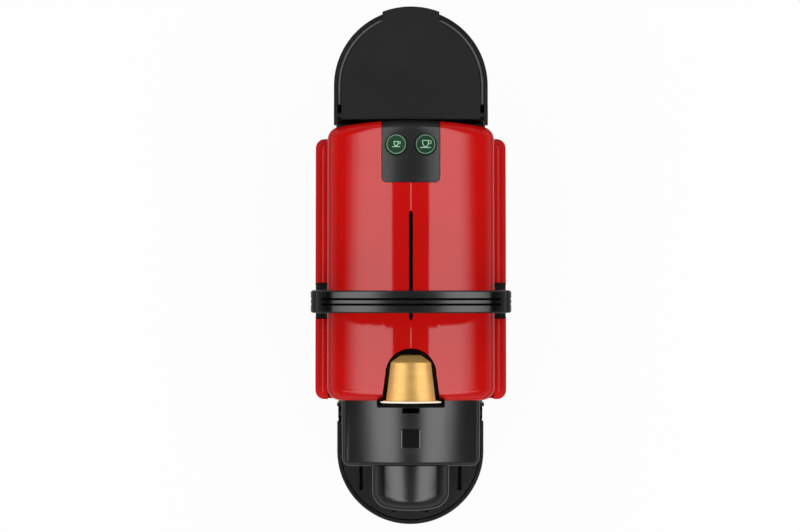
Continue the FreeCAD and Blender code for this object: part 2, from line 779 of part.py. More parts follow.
def brew_cage():
    shell = rod("cage_shell", "cage_radius", f"{CAVITY} + cage_back_wall",
                ("0", CAGE_FRONT, "brew_height"), "Y")
    cavity = cone("cage_cavity", "pod_root_radius + cage_gap + fit_gap", "pod_shoulder_radius + cage_gap",
                  CAVITY, ("0", CAGE_FRONT, "brew_height"), "Y")
    tail = rod("cage_tail", "tail_radius", "tail_length + 1", ("0", f"{CAGE_REAR} - 1", "brew_height"), "Y")
    bore = rod("cage_bore", "inlet_radius + running_gap", "tail_length + cage_back_wall + 2",
               ("0", f"{CAGE_REAR} - cage_back_wall - 1", "brew_height"), "Y")
    sides = []
    for n, side in enumerate((1, -1)):
        inner = f"{side} * (cheek_inside + cheek_thick / 2) - cheek_thick / 2"
        outer = f"{inner} + cheek_thick"
        start = f"{CAGE_FRONT} + wing_start"
        sides.append(box(f"cheek_foot_{n}", (inner, start, f"{WING_Z} - wing_thick / 2"),
                         (outer, f"{PIN_Y} + pin_land", "brew_height + wing_thick")))
        sides.append(box(f"cheek_riser_{n}", (inner, f"{PIN_Y} - pin_land", "brew_height"),
                         (outer, f"{PIN_Y} + pin_land", f"{PIN_Z} + fork_pin_radius + pin_cap")))
        reach = "(plate_inside - fit_gap * 2 - cheek_inside)"
        wing_low = f"{side} * (cheek_inside + {reach} / 2) - {reach} / 2"
        sides.append(box(f"wing_{n}", (wing_low, start, f"{WING_Z} - wing_thick / 2"),
                         (f"{wing_low} + {reach}", f"{start} + wing_length", f"{WING_Z} + wing_thick / 2")))
    return cut("brew_cage_part", fuse("cage_solid", shell, tail, *sides), cavity, bore)


node("brew_cage", brew_cage())

pins = []
for n, side in enumerate((1, -1)):
    reach = "(fork_inside + fork_thick + 0.5 - cheek_inside - cheek_thick)"
    start = f"{side} * (cheek_inside + cheek_thick + {reach} / 2) - {reach} / 2"
    pins.append(rod(f"fork_pin_{n}", "fork_pin_radius", reach, (start, PIN_Y, PIN_Z), "X"))
pin_pair = doc.addObject("Part::Compound", "pin_pair")
pin_pair.Links = pins
node("carriage_pins", pin_pair)

blades = []
for n in range(3):
    blades.append(cone(f"blade_{n}", "blade_tip", "blade_root", "blade_length", (
        f"blade_ring * cos(90 + 120 * {n})", f"{CAGE_REAR} - cage_back_wall - blade_length",
        f"brew_height + blade_ring * sin(90 + 120 * {n})"), "Y"))
blade_set = doc.addObject("Part::Compound", "blade_set")
blade_set.Links = blades
node("piercing_blades", blade_set)


# Brew frame: two plates with rails, an extraction plate in front and the water inlet behind.

EXTRACT = "(-pod_front - extract_gap)"
DUCT_Z = "(brew_height - extract_drop + hose_radius + 0.5)"
FRAME_REAR = f"({CAGE_REAR} + tail_length + 1.2)"


def brew_plate():
    low, high = "brew_height - plate_drop", "brew_height + plate_boss"
    front, rear = "-cover_front + dome_wall + 1", f"{FRAME_REAR} + plate_tail"
    sheet_box = box("plate_sheet", ("plate_inside", front, low), ("plate_inside + plate_thick", rear, high))
    corner = box("plate_corner", ("plate_inside - 1", f"{front} - 1", "pivot_height - plate_boss"),
                 ("plate_inside + plate_thick + 1", f"{PIVOT} - plate_boss * 2", f"{high} + 1"))
    bore = rod("plate_bore", "shaft_radius + running_gap", "plate_thick + 2",
               ("plate_inside - 1", PIVOT, "pivot_height"), "X")
    rails = []
    for n, z in enumerate((f"{WING_Z} + wing_thick / 2 + fit_gap",
                           f"{WING_Z} - wing_thick / 2 - fit_gap - rail_height")):
        rails.append(box(f"rail_{n}", ("plate_inside - rail_reach", f"{CAGE_SHUT} + 8", z),
                         ("plate_inside + 0.5", f"{FRAME_REAR} - 20", f"{z} + rail_height")))
    return cut("brew_plate", fuse("plate_and_rails", sheet_box, *rails), corner, bore)


right_plate = node("right_brew_plate", brew_plate())
node("left_brew_plate", mirrored("left_plate", right_plate))


def extraction_plate():
    half = f"{WINDOW_HALF} - fit_gap"
    front, low = f"{EXTRACT} - extract_thick", "brew_height - extract_drop"
    slab_box = box("extract_slab", (f"-({half})", front, low),
                   (half, EXTRACT, CHUTE_BOTTOM))
    cheeks = [box(f"extract_cheek_{n}", (lo, f"{EXTRACT} - 1", low),
                  (hi, f"{CAGE_SHUT} - fit_gap", CHUTE_BOTTOM))
              for n, (lo, hi) in both_sides(f"{half} - extract_cheek", half)]
    middle_y = f"{EXTRACT} - extract_thick / 2"
    well = rod("extract_well", "pod_shoulder_radius + 1", "extract_thick / 2",
               ("0", middle_y, "brew_height"), "Y")
    spout = rod("extract_bore", "nozzle_bore - 1", "extract_thick + 2", ("0", f"{front} - 1", DUCT_Z), "Y")
    studs = [rod(f"stud_{n}_{m}", "stud_radius", "extract_thick / 2 + stud_proud", (
        f"({n} - 1.5) * stud_pitch", f"{middle_y} - stud_proud", f"brew_height + ({m} - 1) * stud_row"), "Y")
             for n in range(4) for m in range(3)]
    hooks = []
    for n, side in enumerate((1, -1)):
        hook_top = "brew_height - sqrt(pod_rim_radius ^ 2 - (hook_across - hook_half) ^ 2) - fit_gap"
        hooks.append(box(f"hook_{n}", (f"{side} * hook_across - hook_half", f"{EXTRACT} - extract_thick / 2",
                                       "brew_height - pod_rim_radius - hook_deep"),
                         (f"{side} * hook_across + hook_half", "-pod_front + pod_rim_thick", hook_top)))
    return fuse("extraction_plate_part", cut("extract_face", slab_box, well, spout), *cheeks, *studs, *hooks)


node("extraction_plate", extraction_plate())

INLET_FRONT = f"({CAGE_SHUT} + {CAVITY} + cage_back_wall + tail_length - inlet_lap)"
inlet_tube = rod("inlet_tube", "inlet_radius", f"{FRAME_REAR} + 1 - {INLET_FRONT}",
                 ("0", INLET_FRONT, "brew_height"), "Y")
inlet_block = box("inlet_block", ("-plate_inside", FRAME_REAR, "brew_height - inlet_half"),
                  ("plate_inside", f"{FRAME_REAR} + plate_tail", "brew_height + inlet_half"))
inlet_way = rod("inlet_way", "inlet_bore", f"{FRAME_REAR} + plate_tail + 2 - {INLET_FRONT}",
                ("0", f"{INLET_FRONT} - 1", "brew_height"), "Y")
node("water_inlet", cut("water_inlet_part", fuse("inlet_solid", inlet_tube, inlet_block), inlet_way))

mounts = []
for n, side in enumerate((1, -1)):
    for m, y in enumerate((f"{CAGE_SHUT} + mount_ahead", f"{FRAME_REAR} - mount_behind")):
        across = f"({CORE} - core_wall - plate_inside - plate_thick)"
        low = f"{side} * (plate_inside + plate_thick + {across} / 2) - {across} / 2"
        foot = "brew_height - plate_drop + mount_rise"
        mounts.append(box(f"frame_mount_{n}_{m}", (low, y, foot),
                          (f"{low} + {across}", f"{y} + mount_length", f"{foot} + mount_drop")))
mount_set = doc.addObject("Part::Compound", "mount_set")
mount_set.Links = mounts
node("brew_frame_mounts", mount_set)


# Hood and coffee outlet in front: a sloping arched shell, a bare badge plate and a nose with a nozzle.

HOOD_REAR = "(-cover_front - fit_gap)"


def hood_block(name, inset, rear, low):
    half = f"hood_width / 2 - {inset}"
    block = box(name + "_block", (f"-({half})", f"-hood_front + {inset}", low), (half, rear, "hood_top + 9"))
    arch = rod(name + "_arch", f"hood_arch - {inset}", "260",
               ("0", f"{HOOD_REAR} + hood_arch * sin(hood_slope) - 130 * cos(hood_slope)",
                "hood_top - hood_arch * cos(hood_slope) - 130 * sin(hood_slope)"),
               turn=("X", "-(90 - hood_slope)"))
    return common(name, block, arch)


def hood():
    solid = hood_block("hood_solid", "0", HOOD_REAR, "hood_bottom")
    front = value("-hood_front")
    rear, low = value(HOOD_REAR) - 1, value("hood_bottom") + 1
    soft = rounded("hood_soft", solid, "hood_edge", lambda e, m: m.y < rear and m.z > low and (
        runs_along(e, 2) or m.y > front + 1 or near(m.x, 0, 1)))
    inside = hood_block("hood_inside", "hood_wall", f"{HOOD_REAR} + 5", "hood_bottom + hood_wall")
    vent = box("hood_vent", ("-vent_width / 2", "-vent_rear - vent_length", "hood_top - 20"),
               ("vent_width / 2", "-vent_rear", "hood_top + 9"))
    passage = rod("hood_passage", "nozzle_bore + 2", "10", ("0", "-hood_front - 5", "nose_top - 12"), "Y")
    relief = box("hood_relief", ("-hood_width", "-core_front - fit_gap", "hood_bottom - 1"),
                 ("hood_width", "-cover_front + 1", f"{DOME_BOTTOM} + 1"))
    notch_half = f"({WINDOW_HALF} + fit_gap)"
    notch = box("hood_notch", (f"-{notch_half}", "-core_front - fit_gap", DOME_BOTTOM),
                (notch_half, "-cover_front + 1", "hood_top + 9"))
    return cut("hood_part", soft, inside, vent, passage, relief, notch, badge("badge_recess"))


def badge(name):
    low = "-badge_rear - badge_length * cos(hood_slope)"
    return slab(name, ("badge_width", "badge_length", "badge_deep"), (
        "-badge_width / 2", f"{low} + badge_deep * 0.6 * sin(hood_slope)",
        f"hood_top + ({low} - {HOOD_REAR}) * tan(hood_slope) - badge_deep * 0.6 / cos(hood_slope)"),
        ("X", "hood_slope"))


node("front_hood", hood())
node("badge_plate", badge("badge_plate_part"))


def nose_block(name, inset, rear, low, high):
    half = f"nose_width / 2 - ({inset})"
    front = f"-nose_front + {inset}"
    block = box(name + "_block", (f"-({half})", front, low), (half, rear, high))
    return rounded(name, block, f"nose_corner - ({inset}) / 2",
                   lambda e, m: runs_along(e, 2) and m.y < value(front) + 1)


def nose():
    body = nose_block("nose_body", "nose_lip / 2", "-hood_front", "nose_bottom", "nose_top")
    soft = rounded("nose_soft", body, "nose_brow", lambda e, m: m.z > value("nose_top - 1") and
                   m.y < value("-hood_front - 1"))
    lip = nose_block("nose_lip_plate", "0", "-hood_front", "nose_bottom", "nose_bottom + nose_lip")
    inside = nose_block("nose_inside", "nose_lip / 2 + nose_wall + 2", "-hood_front + 5",
                        "nose_bottom + nose_lip + nose_wall", "nose_top - nose_wall - 2")
    bore = rod("nose_bore", "nozzle_bore", "20", ("0", NOZZLE_Y, "nose_bottom - 5"))
    return cut("nose_part", fuse("nose_solid", soft, lip), inside, bore)


NOZZLE_Y = "(-(nose_front + hood_front) / 2)"
node("nose_shell", nose())
nozzle = cone("nozzle_cone", "nozzle_radius * 0.6", "nozzle_radius", "nozzle_drop",
              ("0", NOZZLE_Y, "nose_bottom - nozzle_drop"))
nozzle_hole = rod("nozzle_hole", "nozzle_bore", "nozzle_drop + 2",
                  ("0", NOZZLE_Y, "nose_bottom - nozzle_drop - 1"))
node("coffee_outlet", cut("coffee_outlet_part", nozzle, nozzle_hole))


# Core: side frames, front and rear panels, and the base on its feet.

FRAME_IN = f"({CORE} - core_wall)"


def core_frame():
    rear = f"{WALL_REAR} - rear_wall_thick"
    lower = box("frame_lower", (FRAME_IN, "-cover_front + fit_gap", BASE_TOP),
                (CORE, rear, f"{DOME_BOTTOM} - fit_gap"))
    upper = box("frame_upper", (FRAME_IN, "-cover_front + dome_wall + dome_end_round", f"{DOME_BOTTOM} - 1"),
                (CORE, "cover_rear - dome_end_round", "frame_top"))
    lugs = []
    for n, part in enumerate(("0.12", "0.5", "0.86")):
        y = f"(-cover_front + (cover_front + cover_rear) * {part})"
        lugs.append(box(f"lug_low_{n}", (f"{CORE} - 1", f"{y} - 6", "cover_foot"),
                        (f"{CORE} + fit_gap", f"{y} + 6", "cover_foot + cover_wall")))
        lugs.append(box(f"lug_high_{n}", (f"{CORE} - 1", f"{y} - 6", f"{DOME_BOTTOM} + 1"),
                        (f"{CORE} + fit_gap", f"{y} + 6", "frame_top")))
    return fuse("core_frame", lower, upper, *lugs)


right_frame = node("right_frame", core_frame())
node("left_frame", mirrored("left_frame_part", right_frame))

node("rear_panel", box("rear_panel_part", (f"-({CORE})", f"{WALL_REAR} - rear_wall_thick", BASE_TOP),
                       (CORE, WALL_REAR, DOME_BOTTOM)))

PANEL_HALF = "(hood_width / 2 - hood_wall)"
PANEL_FACE = "(-core_front - 2)"


def front_panel():
    back = "-core_front"
    upper = box("front_upper", (f"-{PANEL_HALF}", PANEL_FACE, "hood_bottom + hood_wall"),
                (PANEL_HALF, back, "frame_top - 11"))
    web = box("front_web", (f"-{PANEL_HALF}", "-core_front - fit_gap", "hood_bottom - 1"),
              (PANEL_HALF, back, "hood_bottom + hood_wall + 1"))
    lower = box("front_lower", (f"-({CORE})", PANEL_FACE, f"{BIN_TOP} + 1.5"),
                (CORE, back, "hood_bottom - fit_gap"))
    flanges = [box(f"front_flange_{n}", (low, "-core_front - fit_gap + 0.1", f"{BIN_TOP} + 12"),
                   (high, f"{PANEL_FACE} + 12", f"{DOME_BOTTOM} - fit_gap"))
               for n, (low, high) in enumerate(((f"{FRAME_IN} - 3", FRAME_IN),
                                                (f"-{FRAME_IN}", f"-{FRAME_IN} + 3")))]
    return fuse("front_panel_part", upper, web, lower, *flanges)


BIN_BASE = f"({BASE_TOP} + bin_rise)"
BIN_TOP = f"({BIN_BASE} + bin_height)"
node("front_panel", front_panel())


def long_tray(name, inset, low, high):
    """A tray form with round ends, drawn in by an inset."""
    half = f"{CORE} - 0.5 - {inset}"
    front, rear = "-tray_centre", TANK_CENTRE
    middle_box = box(name + "_middle", (f"-({half})", front, low), (half, rear, high))
    ends = [rod(f"{name}_end_{n}", half, f"({high}) - ({low})", ("0", y, low))
            for n, y in enumerate((front, rear))]
    return fuse(name, middle_box, *ends)


GLAND_Y = f"({TANK_CENTRE} + {CORE} - 0.5)"
GLAND_Z = "(foot_height + base_height / 2)"
base_outer = long_tray("base_outer", "0", "foot_height", BASE_TOP)
base_inner = long_tray("base_inner", "base_wall", "foot_height + base_floor", f"{BASE_TOP} + 1")
gland_seat = rod("gland_seat", "cord_radius + gland_wall", "20", ("0", f"{GLAND_Y} - 10", GLAND_Z), "Y")
node("base", cut("base_part", base_outer, base_inner, gland_seat))
gland = rod("gland_tube", "cord_radius + gland_wall", "base_wall + 2 * gland_proud",
            ("0", f"{GLAND_Y} - base_wall - gland_proud", GLAND_Z), "Y")
gland_bore = rod("gland_bore", "cord_radius", "base_wall + 4 * gland_proud",
                 ("0", f"{GLAND_Y} - base_wall - 2 * gland_proud", GLAND_Z), "Y")
node("cord_gland", cut("cord_gland_part", gland, gland_bore))
for end, y in (("front", "-foot_ahead"), ("rear", "foot_behind")):
    for side, x in (("right", "foot_across"), ("left", "-foot_across")):
        label = f"{end}_{side}_foot"
        node(label, rod(label + "_part", "foot_radius", "foot_height", (x, y, "0")))


# Water tank behind: a D-shaped cup with hinge ears, a lid with a finger tab and a foot valve.

def tank_form(name, inset, low, high, front=None):
    """The tank's D plan, drawn in by an inset, between two heights."""
    half = f"tray_radius - ({inset})"
    start = front or f"{TANK_FRONT} + {inset}"
    block = box(name + "_block", (f"-({half})", start, low), (half, TANK_CENTRE, high))
    end = rod(name + "_end", half, f"({high}) - ({low})", ("0", TANK_CENTRE, low))
    behind = box(name + "_behind", ("-tray_radius * 2", start, low),
                 ("tray_radius * 2", "tray_radius * 5", high))
    return common(name, fuse(name + "_plan", block, end), behind)


TANK_BASE = f"({BASE_TOP} + fit_gap)"
HINGE_Y = f"({TANK_FRONT} + lid_front + lid_hinge_behind)"
HINGE_Z = f"({TANK_TOP} + 0.6)"
VALVE_Y = f"({TANK_CENTRE} - 4)"


def tank():
    solid = tank_form("tank_solid", "0", TANK_BASE, TANK_TOP)
    ears = [box(f"tank_ear_{n}", (low, f"{HINGE_Y} - lid_ear", f"{TANK_TOP} - ear_deep"),
                (high, f"{HINGE_Y} + lid_ear", f"{TANK_TOP} + ear_rise"))
            for n, (low, high) in enumerate((("tray_radius - tank_wall", "tray_radius"),
                                             ("-tray_radius", "-tray_radius + tank_wall")))]
    ring_top = f"{TANK_TOP} - lid_seat - fit_gap"
    ring = cut("tank_ring", tank_form("ring_out", "tank_wall / 2", f"{ring_top} - ring_step", ring_top),
               tank_form("ring_in", "tank_wall + ring_step", f"{TANK_TOP} - ear_deep", f"{TANK_TOP} + 1",
                         "dome_rear"),
               box("ring_relief", ("-tray_radius + tank_wall", "dome_rear", f"{ring_top} - ring_step - 1"),
                   ("tray_radius - tank_wall", f"{HINGE_Y} + lid_ear", f"{ring_top} + 1")))
    hollow = tank_form("tank_hollow", "tank_wall", f"{TANK_BASE} + tank_floor", f"{TANK_TOP} + 1")
    dip = box("tank_dip", ("-tray_radius + tank_wall", f"{TANK_FRONT} - 1", f"{ring_top} - 1"),
              ("tray_radius - tank_wall", f"{TANK_FRONT} + tank_wall + 1", f"{TANK_TOP} + 9"))
    hinge = rod("tank_hinge_bore", "lid_hinge_radius + running_gap", "3 * tray_radius",
                ("-1.5 * tray_radius", HINGE_Y, HINGE_Z), "X")
    drain = rod("tank_drain", "valve_radius - 3", "60", ("0", VALVE_Y, "0"))
    cup = fuse("tank_cup", cut("tank_shell", solid, hollow), *ears, ring)
    return cut("tank_part", cup, dip, hinge, drain)


node("tank", tank())

valve_stop = rod("valve_stop", "valve_radius - 3", "tank_floor + 6", ("0", VALVE_Y, TANK_BASE))
valve_bore = rod("valve_bore", "2", "80", ("0", VALVE_Y, "0"))
valve_skirt = rod("valve_skirt", "valve_radius", "valve_drop", ("0", VALVE_Y, f"{TANK_BASE} - valve_drop"))
node("tank_valve", cut("tank_valve_part", fuse("valve_solid", valve_skirt, valve_stop), valve_bore))


def tank_lid():
    seat = f"{TANK_TOP} - lid_seat"
    plate = tank_form("lid_plate", "lid_inset", seat, f"{seat} + lid_thick + lid_rise",
                      f"{TANK_FRONT} + lid_front")
    tab_round = rod("lid_tab_round", "tray_radius + lid_tab_reach", "lid_thick - 2",
                    ("0", TANK_CENTRE, f"{TANK_TOP} + fit_gap"))
    tab_band = box("lid_tab_band", ("-lid_tab_half", f"{TANK_CENTRE} + tray_radius / 2", f"{TANK_TOP} - 9"),
                   ("lid_tab_half", f"{TANK_CENTRE} + tray_radius * 2", f"{TANK_TOP} + 9"))
    tab = common("lid_tab", tab_round, tab_band)
    pins = [rod(f"lid_pin_{n}", "lid_hinge_radius", "lid_inset + 3", (x, HINGE_Y, HINGE_Z), "X")
            for n, x in enumerate(("tray_radius - lid_inset - 3.4", "-tray_radius + 0.4"))]
    return fuse("tank_lid_part", plate, tab, *pins)


node("tank_lid", tank_lid())


# Used pod container: a bin inside the machine and a round front shell that carries the drip tray.

TRAY_HINGE_Y = "(-core_front - tray_hinge_ahead)"
TRAY_HINGE_Z = "(tray_base + tray_height / 2)"


def front_form(name, inset, rear, low, high):
    """The round-fronted plan of the tray and the shell under it, drawn in by an inset."""
    half = f"tray_radius - ({inset})"
    block = box(name + "_block", (f"-({half})", "-tray_centre", low), (half, rear, high))
    end = rod(name + "_end", half, f"({high}) - ({low})", ("0", "-tray_centre", low))
    ahead = box(name + "_ahead", ("-tray_radius * 2", "-tray_radius * 5", low),
                ("tray_radius * 2", rear, high))
    return common(name, fuse(name + "_plan", block, end), ahead)


def container():
    shell_top = "tray_base - fit_gap"
    low = f"{BASE_TOP} + fit_gap"
    bin_box = box("bin_box", ("-bin_width / 2", "-core_front", BIN_BASE),
                  ("bin_width / 2", "bin_rear", BIN_TOP))
    bin_in = "(bin_width / 2 - bin_wall)"
    bin_room = box("bin_room", (f"-{bin_in}", "-core_front + bin_wall", f"{BIN_BASE} + bin_wall"),
                   (bin_in, "bin_rear - bin_wall", f"{BIN_TOP} + 1"))
    shell = front_form("shell_out", "shade_gap", "-core_front + bin_wall / 4", low, shell_top)
    room = front_form("shell_in", "shade_gap + bin_wall", "-core_front - bin_wall", f"{low} - 1",
                      f"{shell_top} - tray_height / 2")
    step_front = f"{TRAY_HINGE_Y} - tray_hinge_ahead - 1"
    step = box("shell_step", ("-tray_radius", step_front, f"{shell_top} - 2.4"),
               ("tray_radius", "-core_front", f"{shell_top} + 1"))
    lug_in, lug_out = "(bin_width / 2 + lug_gap)", "(tray_radius - shade_gap)"
    lugs = []
    for n, (lo, hi) in both_sides(lug_in, lug_out):
        lugs.append(box(f"tray_lug_{n}", (lo, f"{TRAY_HINGE_Y} - lug_half", low),
                        (hi, f"{TRAY_HINGE_Y} + lug_half", TRAY_HINGE_Z)))
        lugs.append(rod(f"tray_lug_eye_{n}", "lug_half", f"{lug_out} - {lug_in}",
                        (lo, TRAY_HINGE_Y, TRAY_HINGE_Z), "X"))
    bores = rod("lug_bore", "tray_hinge_radius + running_gap", "tray_radius * 3",
                ("-tray_radius * 1.5", TRAY_HINGE_Y, TRAY_HINGE_Z), "X")
    front = cut("container_front", shell, room, step)
    whole = fuse("container_solid", cut("bin_cup", bin_box, bin_room), front, *lugs)
    return cut("container_part", whole, bores)


node("pod_container", container())

TRAY_TOP = "(tray_base + tray_height)"
TRAY_REAR = f"({TRAY_HINGE_Y} + tray_hinge_behind)"
GRID_LOW = f"({TRAY_TOP} - grid_thick - grid_sink)"
TRAY_WAIST = f"({TRAY_HINGE_Y} - lug_room)"


def drip_tray():
    solid = front_form("tray_solid", "0", TRAY_REAR, "tray_base", TRAY_TOP)
    room = front_form("tray_room", "tray_wall + grid_rebate - 1.6", f"{TRAY_REAR} - tray_wall - 2",
                      "tray_base + tray_floor", f"{TRAY_TOP} + 1")
    seat = front_form("tray_seat", "tray_wall", f"{TRAY_REAR} - tray_wall", GRID_LOW, f"{TRAY_TOP} + 1")
    sides = [box(f"tray_side_{n}", (lo, TRAY_WAIST, "tray_base - 1"),
                 (hi, f"{TRAY_REAR} + 1", f"{TRAY_TOP} + 1"))
             for n, (lo, hi) in both_sides("bin_width / 2", "tray_radius + 1")]
    walls, rims = [], []
    for n, (lo, hi) in both_sides("bin_width / 2 - tray_wall", "tray_radius - 2"):
        walls.append(box(f"tray_inner_wall_{n}", (lo, f"{TRAY_WAIST} - tray_wall", "tray_base + 0.5"),
                         (hi, TRAY_REAR, GRID_LOW)))
        rims.append(box(f"tray_rim_{n}", (lo, f"{TRAY_WAIST} - tray_wall", f"{GRID_LOW} - 1"),
                        (hi, TRAY_REAR, TRAY_TOP)))
    pin_length = "tray_radius - shade_gap - running_gap - bin_width / 2 + 1"
    pins = [rod(f"tray_pin_{n}", "tray_hinge_radius", pin_length, (x, TRAY_HINGE_Y, TRAY_HINGE_Z), "X")
            for n, x in enumerate(("bin_width / 2 - 1", "-tray_radius + shade_gap + running_gap"))]
    cup = fuse("tray_cup", cut("tray_shell", solid, room, seat), *walls, *rims)
    return fuse("drip_tray_part", cut("tray_waisted", cup, *sides), *pins)


node("drip_tray", drip_tray())


def drip_grid():
    low, high = GRID_LOW, f"{TRAY_TOP} - grid_sink"
    plate = front_form("grid_plate", "tray_wall + fit_gap", f"{TRAY_REAR} - tray_wall - fit_gap", low, high)
    tools = [box(f"grid_corner_{n}", (lo, f"{TRAY_WAIST} - tray_wall - fit_gap", f"{low} - 1"),
                 (hi, f"{TRAY_REAR} + 1", f"{high} + 1"))
             for n, (lo, hi) in both_sides("bin_width / 2 - tray_wall - fit_gap", "tray_radius")]
    half = "grid_slot_width / 2"
    rear = f"{TRAY_HINGE_Y} - grid_slot_rear"
    for n in (1, 2, 3):
        for m, side in enumerate((1, -1)):
            x = f"{side} * {n} * grid_slot_pitch"
            bow = f"sqrt((tray_radius - grid_slot_margin) ^ 2 - ({n} * grid_slot_pitch) ^ 2)"
            front = f"-tray_centre - {bow}"
            tools.append(box(f"grid_slot_{n}_{m}", (f"{x} - {half}", front, f"{low} - 1"),
                             (f"{x} + {half}", rear, f"{high} + 1")))
            tools.append(rod(f"grid_slot_end_{n}_{m}", half, "grid_thick + 2", (x, front, f"{low} - 1")))
    return cut("drip_grid_part", plate, *tools)


node("drip_grid", drip_grid())


# Water and power parts inside the machine.

FLOOR = "(foot_height + base_floor)"
PUMP_FRONT = "(bin_rear + pump_gap)"
pump_bar = rod("pump_bar", "pump_radius", "pump_length", ("0", PUMP_FRONT, "pump_height"), "Y")
node("pump", pump_bar)
coil_front = f"({PUMP_FRONT} + (pump_length - coil_length) / 2)"
coil = box("coil_box", ("-coil_size / 2", coil_front, "pump_height - coil_size / 2"),
           ("coil_size / 2", f"{coil_front} + coil_length", "pump_height + coil_size / 2"))
coil_hole = rod("coil_hole", "pump_radius", "pump_length + 2",
                ("0", f"{PUMP_FRONT} - 1", "pump_height"), "Y")
node("pump_coil", cut("pump_coil_part", coil, coil_hole))
saddles = []
for n, y in enumerate((f"{PUMP_FRONT} + 2", f"{PUMP_FRONT} + pump_length - saddle_thick - 2")):
    block = box(f"saddle_block_{n}", ("-pump_radius - saddle_side", y, FLOOR),
                ("pump_radius + saddle_side", f"{y} + saddle_thick", "pump_height"))
    saddles.append(cut(f"saddle_{n}", block, coil_hole))
saddle_pair = doc.addObject("Part::Compound", "saddle_pair")
saddle_pair.Links = saddles
node("pump_mounts", saddle_pair)

HEAT_Y = f"({PUMP_FRONT} + 2)"
node("heater", box("heater_part", ("-heater_width / 2", HEAT_Y, "heater_level"),
                   ("heater_width / 2", f"{HEAT_Y} + heater_length", "heater_level + heater_height")))
shelf = box("heater_shelf_part", (f"-{FRAME_IN}", f"{HEAT_Y} + 4", "heater_level - shelf_thick"),
            (FRAME_IN, f"{HEAT_Y} + heater_length - 4", "heater_level"))
node("heater_shelf", shelf)

BOARD_Y, BOARD_Z = f"({HEAT_Y} + 1)", "(pump_height - 20)"
BOARD_X = f"(-{FRAME_IN} + post_length)"
node("power_board", box("power_board_part", (BOARD_X, BOARD_Y, BOARD_Z), (
    f"{BOARD_X} + board_thick", f"{BOARD_Y} + power_board_length", f"{BOARD_Z} + power_board_height")))
posts = []
for n in range(4):
    y = f"{BOARD_Y} + post_inset + {n % 2} * (power_board_length - 2 * post_inset)"
    z = f"{BOARD_Z} + post_inset + {n // 2} * (power_board_height - 2 * post_inset)"
    posts.append(rod(f"board_post_{n}", "post_radius", "post_length", (f"-{FRAME_IN}", y, z), "X"))
post_set = doc.addObject("Part::Compound", "post_set")
post_set.Links = posts
node("board_posts", post_set)

METER_X, METER_Y = "(pump_radius * 2 + 1)", f"({PUMP_FRONT} + pump_length / 2)"
node("flow_meter", rod("flow_meter_part", "meter_radius", "meter_height", (METER_X, METER_Y, FLOOR)))
coupling_ring = rod("coupling_ring", "valve_radius + 3", "valve_drop - fit_gap", ("0", VALVE_Y, FLOOR))
coupling_hole = rod("coupling_hole", "valve_radius + fit_gap", "40",
                    ("0", VALVE_Y, f"{TANK_BASE} - valve_drop - fit_gap * 2"))
node("tank_coupling", cut("tank_coupling_part", coupling_ring, coupling_hole))


def hose(label, start, *legs):
    """A tube of straight legs along the axes, with a ball at each bend."""
    point, parts = list(start), []
    for n, (axis, reach) in enumerate(legs):
        index = "XYZ".index(axis)
        span = value(reach)
        low = list(point)
        if span < 0:
            low[index] = f"{point[index]} + {reach}"
        parts.append(rod(f"{label}_leg_{n}", "hose_radius", f"abs({reach})", low, axis))
        point[index] = f"{point[index]} + {reach}"
        if n < len(legs) - 1:
            bend = doc.addObject("Part::Sphere", f"{label}_bend_{n}")
            bind(bend, Radius="hose_radius")
            parts.append(place(bend, point))
    return node(label, fuse(label + "_part", *parts) if len(parts) > 1 else parts[0])


HOSE_Z = f"({FLOOR} + hose_radius)"
hose("tank_hose", (METER_X, f"{METER_Y} + meter_radius", f"{HOSE_Z} + 1"),
     ("Y", f"{VALVE_Y} - ({METER_Y} + meter_radius)"), ("X", f"-{METER_X} + valve_radius + 3"))
HOSE_TOP = "(pump_height + coil_size / 2 + hose_radius * 2)"
hose("pump_hose", (METER_X, METER_Y, f"{FLOOR} + meter_height"),
     ("Z", f"{HOSE_TOP} - ({FLOOR} + meter_height)"),
     ("Y", f"{PUMP_FRONT} + pump_length - hose_radius * 1.5 - {METER_Y}"), ("X", f"-{METER_X}"),
     ("Z", f"pump_height + pump_radius - {HOSE_TOP}"))
hose("heater_hose", ("0", PUMP_FRONT, "pump_height"), ("Y", "-3.4"), ("X", "heater_width / 2 + 6"),
     ("Z", "heater_level + heater_height / 2 - pump_height"), ("Y", "14"), ("X", "-6"))
hose("brew_hose", ("0", f"{HEAT_Y} + heater_length / 2", "heater_level + heater_height"),
     ("Z", "brew_height - heater_level - heater_height"),
     ("Y", f"{FRAME_REAR} + plate_tail - {HEAT_Y} - heater_length / 2"))
hose("coffee_duct", ("0", f"{EXTRACT} - extract_thick", DUCT_Z), ("Y", "-hose_radius * 2"),
     ("Z", f"nose_top - 12 - {DUCT_Z}"),
     ("Y", f"-hood_front - ({EXTRACT} - extract_thick - hose_radius * 2)"))

screws = []
for n in range(4):
    x, y = f"{1 - 2 * (n % 2)} * foot_across", f"{1 - 2 * (n // 2)} * screw_along"
    screws.append(rod(f"screw_{n}", "screw_radius", "screw_head", (x, y, "foot_height - screw_head")))
screw_set = doc.addObject("Part::Compound", "screw_set")
screw_set.Links = screws
node("base_screws", screw_set)


# Writing the pieces.

def write_pieces():
    doc.recompute()
    for thing in doc.Objects:
        if "Invalid" in thing.State or "Error" in thing.State:
            raise RuntimeError(f"{thing.Name} failed: {thing.State}")
    os.makedirs("parts", exist_ok=True)
    for thing in nodes:
        shape = thing.Shape
        if shape.isNull() or not shape.isValid() or not shape.Solids:
            raise RuntimeError(f"{thing.Label} has no valid solid")
        shape.exportStep(f"parts/{thing.Label}.step")
        print(thing.Label, len(shape.Solids), round(shape.Volume / 1000, 2))


write_pieces()
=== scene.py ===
import json
import math
import bmesh
import bpy
from mathutils import Matrix, Vector


